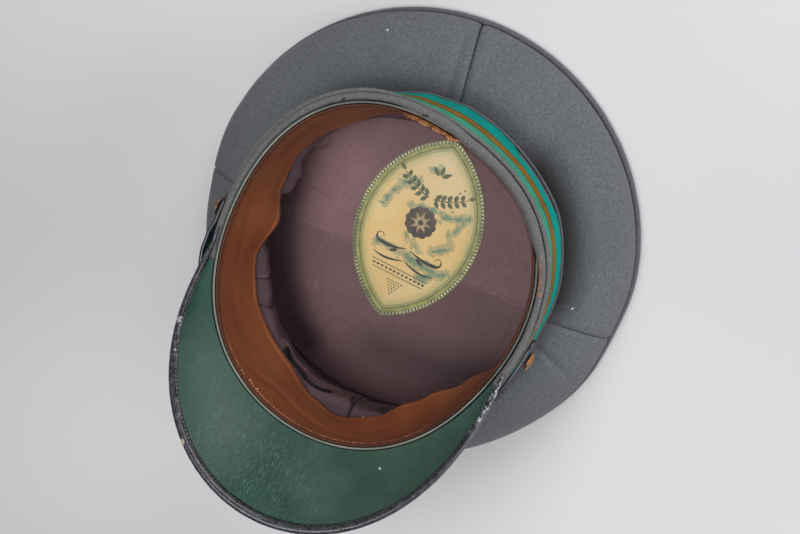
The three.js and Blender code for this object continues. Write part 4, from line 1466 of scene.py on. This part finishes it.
def inkShapes(name, outlines, finish, lift=0.0):
    # flat printed shapes, a hair above the label
    points, faces = [], []
    for outline in outlines:
        outline = np.asarray(outline, float)
        count, start = len(outline), len(points)
        top = labelToCap(outline[:, 0], outline[:, 1], label["thickness"] + label["inkTop"] + lift)
        bottom = labelToCap(outline[:, 0], outline[:, 1], label["thickness"] + label["inkFoot"])
        points += top.tolist() + bottom.tolist()
        faces.append([start + k for k in range(count)])
        faces.append([start + count + k for k in range(count)][::-1])
        for k in range(count):
            after = (k + 1) % count
            faces.append([start + after, start + k, start + count + k, start + count + after])
    mesh = bpy.data.meshes.new(name)
    mesh.from_pydata((np.array(points) * mm).tolist(), [], faces)
    piece = newObject(name, mesh)
    return dress(piece, finish, "label_edge")


def leafShape(x, y, angle, length, width):
    t = np.linspace(0, 1, 9)
    side = np.sin(np.pi * t ** 0.8) * width / 2
    along = np.concatenate([t, t[-2:0:-1]]) * length
    across = np.concatenate([side, -side[-2:0:-1]])
    c, s = math.cos(angle), math.sin(angle)
    return np.stack([x + along * c - across * s, y + along * s + across * c], -1)


def strokeShape(path, width):
    path = np.asarray(path, float)
    along = unit(np.gradient(path, axis=0))
    side = np.stack([-along[:, 1], along[:, 0]], -1)
    half = np.broadcast_to(np.asarray(width) / 2, len(path))[:, None]
    return np.concatenate([path + side * half, (path - side * half)[::-1]])


def inkFinish(name, ink, faded):
    material, tree = startFinish(name)
    wear = noiseOf(tree, placeOf(tree), 230, 3.0, 0.65)
    tone = rampOf(tree, wear, ((0.38, ink), (0.72, faded)))
    return finished(material, tone, rough=0.5)


def discShape(x, y, radius, points=20):
    turn = turnsOf(points)
    return np.stack([x + radius * np.cos(turn), y + radius * np.sin(turn)], -1)


def starShape(x, y, outer, inner, points=8):
    turn = turnsOf(points * 2)
    radius = np.where(np.arange(points * 2) % 2 == 0, outer, inner)
    return np.stack([x + radius * np.cos(turn), y + radius * np.sin(turn)], -1)


def makeLabelOrnament():
    # a leafy swag over a rosette, two flourishes, a row of diamonds between ruled lines, and dots
    swag, rosette, flourish = [], [], []
    for side in (-1, 1):
        t = np.linspace(0, 1, 22)
        stemX = side * (1.5 + 19 * t)
        stemY = 20.5 + 8.5 * t ** 1.6
        swag.append(strokeShape(np.stack([stemX, stemY], -1), 0.9 - 0.4 * t))
        for k in range(1, 20, 4):
            heading = math.atan2(stemY[k] - stemY[k - 1], stemX[k] - stemX[k - 1])
            for lean in (0.95, -0.95):
                leafX = stemX[k] + 0.5 * math.cos(heading + lean)
                leafY = stemY[k] + 0.5 * math.sin(heading + lean)
                swag.append(leafShape(leafX, leafY, heading + lean, 5.0 - 0.06 * k, 2.7))
        swag.append(leafShape(stemX[-1], stemY[-1] + 0.4, math.atan2(1, side * 1.4), 5.0, 2.4))
    for angle in (math.pi / 2 - 0.85, math.pi / 2, math.pi / 2 + 0.85):
        swag.append(leafShape(1.2 * math.cos(angle), 33.5 + 1.2 * math.sin(angle), angle, 6.5, 2.7))
    turn = turnsOf(96)
    edge = 8.9 + 0.85 * np.abs(np.cos(turn * 6))
    rosette.append(np.stack([edge * np.cos(turn), label["rosetteY"] + edge * np.sin(turn)], -1))
    for side in (-1, 1):
        # each half starts thin at the middle, swells, and curls up on itself
        t = np.linspace(0, 1, 60)
        heading = -0.42 + 1.1 * t + 6.4 * np.maximum(t - 0.55, 0) ** 1.15 * 1.6
        step = 0.62 * (1 - 0.45 * t)
        x = 1.0 + np.cumsum(step * np.cos(heading))
        y = -13.5 + np.cumsum(step * np.sin(heading))
        width = 0.45 + 1.75 * np.sin(np.pi * np.clip(t * 1.25, 0, 1)) ** 1.5
        flourish.append(strokeShape(np.stack([side * x, y], -1), width))
        low = np.linspace(0, 1, 30)
        flourish.append(strokeShape(np.stack([side * (0.5 + 19 * low), -21.5 - 2.6 * np.sin(low * 2.5)], -1),
                                    0.35 + 1.0 * np.sin(np.pi * low)))
        flourish.append(leafShape(side * 6, -16.6, math.atan2(-0.5, side), 6.0, 1.9))
    for k in range(-6, 7):
        flourish.append(starShape(k * 2.7, -29.6, 1.15, 0.81, 2))
    for y, half in ((-27.4, 18.5), (-31.8, 16.5)):
        flourish.append(strokeShape(np.array(((-half, y), (-half / 2, y), (half / 2, y), (half, y))), 0.42))
    for line, count in enumerate((6, 5, 4, 3, 2, 1)):
        for k in range(count):
            swag.append(discShape((k - (count - 1) / 2) * 1.8, -35.4 - line * 1.6, 0.5, 8))
    inkShapes("label_swag", swag, inkFinish("oliveInk", label["olive"], (0.16, 0.19, 0.075)))
    inkShapes("label_rosette", rosette, inkFinish("brownInk", label["brownInk"], (0.15, 0.11, 0.07)))
    inkShapes("label_flourish", flourish, inkFinish("blackInk", label["ink"], (0.055, 0.060, 0.040)))
    paleInk = inkFinish("paleInk", (0.36, 0.25, 0.13), (0.56, 0.42, 0.24))
    inkShapes("label_star", [starShape(0, label["rosetteY"], 6.9, 3.0)], paleInk, 0.05)
    eyeInk = inkFinish("eyeInk", label["brownInk"], (0.10, 0.07, 0.05))
    inkShapes("label_star_eye", [discShape(0, label["rosetteY"], 1.6)], eyeInk, 0.09)


makeLabel()
makeLabelBorder()
makeLabelOrnament()
print("label laid")

# visor

visor = {
    "reach": 55.65,
    "slope": 46.3,
    "span": 82.16,
    "fullness": 1.09,
    "rootOut": 3,
    "rootLift": 0.4,
    "forwardShare": 0.45,
    "sheet": 1.3,
    "hollow": 2,
    "hollowReach": 30,
    "sheetShare": 0.9,
    "bindingHalfWidth": 2.65,
    "bindingHalfThickness": 2.1,
    "fullReach": 9,
    "endScale": 0.4,
    "endLift": 1.5,
    "leftShare": -1.035,
    "rightShare": 0.96,
    "darkGreen": (0.037, 0.076, 0.057),
    "green": (0.0090, 0.047, 0.033),
    "wornAndSheen": (0.046, 0.084, 0.069),
    "scratch": (0.105, 0.185, 0.150),
    "stitches": {"margin": 4.0, "pitch": 2.3, "length": 1.25},
    # where painted glints show on the binding's cracked coat: from, to, half width, how much
    "glintSpots": (((-83.5, -63), (-75.5, -80), 1.9, 0.85), ((-75.5, -80), (-60, -104), 1.7, 0.35),
                  ((88.5, -24), (85, -47), 2.2, 0.9), ((84, -50), (76, -70), 2.0, 0.6)),
}


def visorReachAt(share):
    return visor["reach"] * np.maximum(np.cos(np.pi / 2 * share), 0) ** visor["fullness"]


def visorOutward(angle):
    forward = stack(0.0, -visor["forwardShare"], 0.0)
    return unit(openingOutward(angle) * (1 - visor["forwardShare"]) + forward)


def visorPoint(share, distance):
    angle = -90 + share * visor["span"]
    slope = math.radians(visor["slope"])
    distance = np.asarray(distance)[..., None]
    root = headPoint(angle, visor["rootOut"], visor["rootLift"])
    return (root + visorOutward(angle) * distance * math.cos(slope)
            + distance * math.sin(slope) * np.array((0.0, 0.0, 1.0)))


def visorThrough(share):
    slope = math.radians(visor["slope"])
    return visorOutward(-90 + share * visor["span"]) * math.sin(slope) + stack(0.0, 0.0, -math.cos(slope))


def visorLayer(inner, outer, stations=150, steps=28):
    slope = math.radians(visor["slope"])
    share = np.linspace(-visor["sheetShare"], visor["sheetShare"], stations)[:, None]
    step = np.linspace(0, 1, steps)[None, :]
    share, step = np.broadcast_arrays(share, step)
    reach = visorReachAt(share) - 2 * visor["bindingHalfWidth"] - seatGap
    through = visorThrough(share)
    level = visorOutward(-90 + share * visor["span"]) / math.sin(slope)
    dish = visor["hollow"] * 4 * step * (1 - step) * np.minimum(reach / visor["hollowReach"], 1)
    base = visorPoint(share, step * reach) + through * dish[..., None]
    offset = level + (through - level) * step[..., None]
    return inCap(base + offset * inner), inCap(base + offset * outer)


def makeVisorLayer(name, inner, outer, finish, slotName, node):
    low, high = visorLayer(inner, outer)
    sections = np.concatenate([low, high[:, ::-1]], 1)
    down = lengthAlong(low[len(low) // 2])
    piece = meshFromSections(name, sections, False, np.concatenate([down, down[::-1]]), crease=45)
    return dress(piece, finish, slotName, node)


def visorGreenFinish():
    row = visor
    material, tree = startFinish("visorGreenCloth")
    place = placeOf(tree)
    threads = noiseOf(tree, stretched(tree, place, (1700, 110, 110), (0, 0, 0.02)), 1.0, 3.0, 0.7)
    grain = noiseOf(tree, place, 900, 3.0, 0.65)
    scratch = noiseOf(tree, stretched(tree, place, (2500, 260, 260), (0, 0, 0.05)), 1.0, 2.5, 0.7)
    cloud = noiseOf(tree, place, 26, 4.0, 0.55, 0.4)
    # painted light makes it paler towards the wearer's right; it is paler again at the wearer's left front,
    # partly wear and partly painted sheen
    lean = plus(tree, times(tree, partsOf(tree, place)[0], 8.0), times(tree, cloud, 0.9))
    base = rampOf(tree, lean, ((0.42, row["green"]), (0.80, row["darkGreen"])))
    wornAndSheenHere = nearLine(tree, place, (-66, -82), (-40, -108), 30, 0.95)
    base = mixOf(tree, times(tree, wornAndSheenHere, 0.95), base, row["wornAndSheen"])
    base = mottled(tree, base, cloud, 0.3, 0.7, 0.86, 1.12)
    tone = mottled(tree, base, threads, 0.3, 0.7, 0.84, 1.16)
    tone = mottled(tree, tone, grain, 0.3, 0.7, 0.88, 1.12)
    where = nearLine(tree, place, (-38, -112), (12, -122), 26, 0.7)
    mask = times(tree, rampOf(tree, scratch, ((0.57, grey(0)), (0.63, grey(1)))),
                 plus(tree, times(tree, where, 0.55), 0.06))
    tone = mixOf(tree, mask, tone, row["scratch"])
    fleck = nearLine(tree, place, (46.6, -94.4), (46.9, -94.4), 0.55, 0.4)
    tone = mixOf(tree, fleck, tone, (0.50, 0.55, 0.50))
    return finished(material, tone, (threads, 0.00012, 0.5), rough=0.5, specular=0.28)


def patentFinish():
    material, tree = startFinish("patentLeather")
    place = placeOf(tree)
    cloud = noiseOf(tree, place, 30, 4.0, 0.6)
    lines = rampOf(tree, cracksOf(tree, place, 420.0), ((0.0, grey(1)), (0.05, grey(0))))
    tone = rampOf(tree, cloud, ((0.3, (0.006, 0.006, 0.008)), (0.7, (0.018, 0.018, 0.022))))
    tone = mixOf(tree, times(tree, lines, 0.35), tone, (0.05, 0.05, 0.055))
    return finished(material, tone, (lines, 0.00006, -0.4),
                    rough=rangeOf(tree, cloud, 0.3, 0.7, 0.18, 0.34), coat=0.4, coatRough=0.12)


def bindingFinish():
    material, tree = startFinish("blackBinding")
    place = placeOf(tree)
    shard = addNode(tree, "ShaderNodeTexVoronoi", {"Vector": place, "Scale": 1300.0})
    patchy = noiseOf(tree, place, 260, 4.0, 0.65)
    tone = rampOf(tree, patchy, ((0.3, (0.006, 0.007, 0.010)), (0.7, (0.022, 0.024, 0.034))))
    flake = rampOf(tree, shard.outputs["Color"], ((0.42, grey(0)), (0.5, grey(1))))
    wornAndSheen = rampOf(tree, patchy, ((0.44, grey(0)), (0.54, grey(1))))
    # painted glints: silvery flakes of the cracked coat along parts of the ridge only
    glintShare = 0.07
    for start, end, width, much in visor["glintSpots"]:
        glintShare = sumOf(tree, "MAXIMUM", glintShare, times(tree, nearLine(tree, place, start, end, width, 0.5), much))
    ridge = times(tree, times(tree, flake, wornAndSheen), glintShare)
    tone = mixOf(tree, ridge, tone, (0.42, 0.44, 0.48))
    chip = nearLine(tree, place, (-52.1, -114), (-51.4, -114.6), 1.3, 0.3)
    tone = mixOf(tree, chip, tone, (0.45, 0.36, 0.25))
    edge = rampOf(tree, cracksOf(tree, place, 900.0), ((0.0, grey(0)), (0.12, grey(1))))
    height = plus(tree, edge, times(tree, patchy, 1.5))
    return finished(material, tone, (height, 0.00025, 0.7),
                    rough=rangeOf(tree, patchy, 0.3, 0.7, 0.22, 0.45), coat=0.5, coatRough=0.2)


def bindingPath(stations):
    row = visor
    share = np.linspace(row["leftShare"], row["rightShare"], stations)
    reach = visorReachAt(share)
    fullness = np.clip(reach / row["fullReach"], 0, 1)
    scale = row["endScale"] + (1 - row["endScale"]) * fullness
    halfWidth = row["bindingHalfWidth"] * scale
    middle = visorPoint(share, np.maximum(reach - halfWidth, 0))
    middle[:, 2] += row["endLift"] * (1 - fullness)
    slope = math.radians(row["slope"])
    along = visorOutward(-90 + share * row["span"]) * math.cos(slope) + stack(0.0, 0.0, math.sin(slope))
    return middle, along, visorThrough(share), halfWidth, row["bindingHalfThickness"] * scale


def makeBinding():
    stations = 300
    middle, along, through, halfWidth, halfThick = bindingPath(stations)
    crumple = 1 + 0.02 * ripple(31, np.linspace(0, 360, stations), 0, (31, 53, 79, 113), 1.0)
    sections = tubeSections(middle, along * (halfWidth * crumple)[:, None],
                            through * (halfThick * crumple)[:, None], turnsOf(20))
    piece = meshFromSections("visor_edging", inCap(sections), False, crease=70)
    return dress(piece, bindingFinish(), "black_binding", "visor_binding")


def makeBindingStitches():
    middle, along, through, halfWidth, halfThick = bindingPath(1600)
    spots = middle - along * (halfWidth * 0.62)[:, None] - through * (halfThick * 0.80)[:, None]
    at, run, starts, ends = spacedStitches(spots, visor["stitches"])
    lift = unit(pointsAt(at, run, -through - along * 0.5))
    piece = capsules("visor_edging_stitches", inCap(starts), inCap(ends), 0.2, lift @ headTurn.T)
    finish = threadFinish("edgingThread", (0.14, 0.14, 0.155), (0.016, 0.016, 0.020))
    tree, tone = takenUp(finish)
    pale = nearLine(tree, placeOf(tree), (-72, -82), (-50, -107), 12, 0.4)
    tone = mixOf(tree, times(tree, pale, 0.6), tone, (0.34, 0.34, 0.36))
    return dress(piece, finished(finish, tone), "black_binding")


makeVisorLayer("visor_outer_sheet", seatGap / 2, seatGap / 2 + visor["sheet"], patentFinish(),
               "patent_leather", "visor_top")
makeVisorLayer("visor_green_sheet", -seatGap / 2 - visor["sheet"], -seatGap / 2, visorGreenFinish(),
               "green_oilcloth", "visor_underside")
makeBinding()
makeBindingStitches()
print("visor made")

# chin strap and buttons

strap = {
    "halfWidth": 6.5,
    "thickness": 2.3,
    "depth": 11.2,
    "endLength": 6,
    "endRound": 0.8,
    "stations": 260,
    "dark": (0.005, 0.007, 0.012),
    "blue": (0.014, 0.019, 0.034),
    "stitches": {"margin": 9.0, "pitch": 2.6, "length": 1.5},
    "profile": ((-1, -0.35), (-1, 0.35), (-0.965, 0.75), (-0.9, 0.97), (-0.82, 1), (-0.74, 0.93),
                (-0.66, 0.9), (0, 0.93), (0.66, 0.9), (0.74, 0.93), (0.82, 1), (0.9, 0.97), (0.965, 0.75),
                (1, 0.35), (1, -0.35), (0.96, -0.8), (0.88, -1), (0, -0.95), (-0.88, -1), (-0.96, -0.8)),
}
strapRoute = ((-186, 7.3), (-177, 7.8), (-171, 10), (-166, 11), (-150, 10), (-120, 8.6), (-60, 8),
              (-24, 7.3), (2, 7.2))
button = {
    "radius": 5.6,
    "height": 3,
    "gap": 0.4,
    "rightAt": -4.5,
    "leftAt": -180.5,
    "dark": (0.08, 0.036, 0.015),
    "brown": (0.26, 0.125, 0.05),
    "bright": (0.55, 0.32, 0.14),
    "profile": ((0, 0), (0.62, 0), (0.7, 0.02), (0.9, 0.18), (0.985, 0.27), (1, 0.33), (0.985, 0.42),
                (0.94, 0.5), (0.885, 0.52), (0.86, 0.55), (0.80, 0.68), (0.62, 0.86), (0.35, 0.97),
                (0.0, 1.0)),
}


def strapFinish():
    material, tree = startFinish("strapLeather")
    place = placeOf(tree)
    cloud = noiseOf(tree, place, 70, 4.0, 0.6)
    grain = noiseOf(tree, place, 1100, 3.0, 0.6)
    tone = rampOf(tree, cloud, ((0.3, strap["dark"]), (0.7, strap["blue"])))
    return finished(material, tone, (plus(tree, grain, cloud), 0.00012, 0.5),
                    rough=rangeOf(tree, cloud, 0.3, 0.7, 0.28, 0.5), coat=0.25, coatRough=0.3)


def strapSpine(stations):
    row = strap
    angle = np.linspace(strapRoute[0][0], strapRoute[-1][0], stations)
    fromEnd = np.radians(np.minimum(angle - angle[0], angle[-1] - angle)) * opening["halfWidth"]
    past = 1 - np.clip(fromEnd / row["endLength"], 0, 1)
    half = row["halfWidth"] * np.sqrt(1 - row["endRound"] * past ** 2)
    return angle, straightTable(strapRoute, angle), half


def makeStrap():
    row = strap
    angle, out, half = strapSpine(row["stations"])
    thick = row["thickness"] / 2
    columns = [headPoint(angle, out + thick * deep, -row["depth"] + half * side)
               for side, deep in row["profile"]]
    piece = meshFromSections("chin_strap_leather", inCap(np.stack(columns, 1)), False, crease=60)
    return dress(piece, strapFinish(), "strap_leather", "chin_strap")


def makeStrapStitches():
    row = strap
    angle, out, half = strapSpine(1800)
    starts, ends, lifts = [], [], []
    for side in (-1, 1):
        line = inCap(headPoint(angle, out + row["thickness"] / 2 * 0.93, -row["depth"] + side * half * 0.72))
        at, run, start, end = spacedStitches(line, row["stitches"])
        starts.append(start)
        ends.append(end)
        lifts.append(headOutward(np.interp(at, run, angle)))
    piece = capsules("chin_strap_stitches", np.vstack(starts), np.vstack(ends), 0.16, np.vstack(lifts), 5, 2)
    finish = threadFinish("strapThread", (0.05, 0.055, 0.07), (0.012, 0.013, 0.018))
    return dress(piece, finish, "strap_leather")


def brassFinish():
    material, tree = startFinish("tarnishedBrass")
    place = placeOf(tree)
    cloud = noiseOf(tree, place, 260, 5.0, 0.65, 0.5)
    fine = noiseOf(tree, place, 2400, 3.0, 0.6)
    tone = rampOf(tree, cloud, ((0.3, button["dark"]), (0.5, button["brown"]), (0.74, button["bright"])))
    metal = rangeOf(tree, cloud, 0.3, 0.5, 0.55, 1.0)
    return finished(material, tone, (plus(tree, cloud, fine), 0.0001, 0.5), metal=metal,
                    rough=rangeOf(tree, cloud, 0.3, 0.7, 0.6, 0.28))


brass = brassFinish()


def makeButton(name, node, at):
    outward = headOutward(at)
    side = unit(np.cross(headTurn[:, 2], outward))
    top = np.cross(outward, side)
    out = straightTable(strapRoute, at) + strap["thickness"] / 2 + button["gap"]
    base = headInCap(at, out, -strap["depth"])
    turns = turnsOf(48)
    around = side[None] * np.cos(turns)[:, None] + top[None] * np.sin(turns)[:, None]
    columns = [base + around * (radius * button["radius"]) + outward * (height * button["height"])
               for radius, height in button["profile"]]
    piece = meshFromSections(name, np.stack(columns, 1), True, crease=50)
    return dress(piece, brass, "button_brass", node)


makeStrap()
makeStrapStitches()
makeButton("button_dome_right", "strap_button_right", button["rightAt"])
makeButton("button_dome_left", "strap_button_left", button["leftAt"])
print("strap and buttons made")
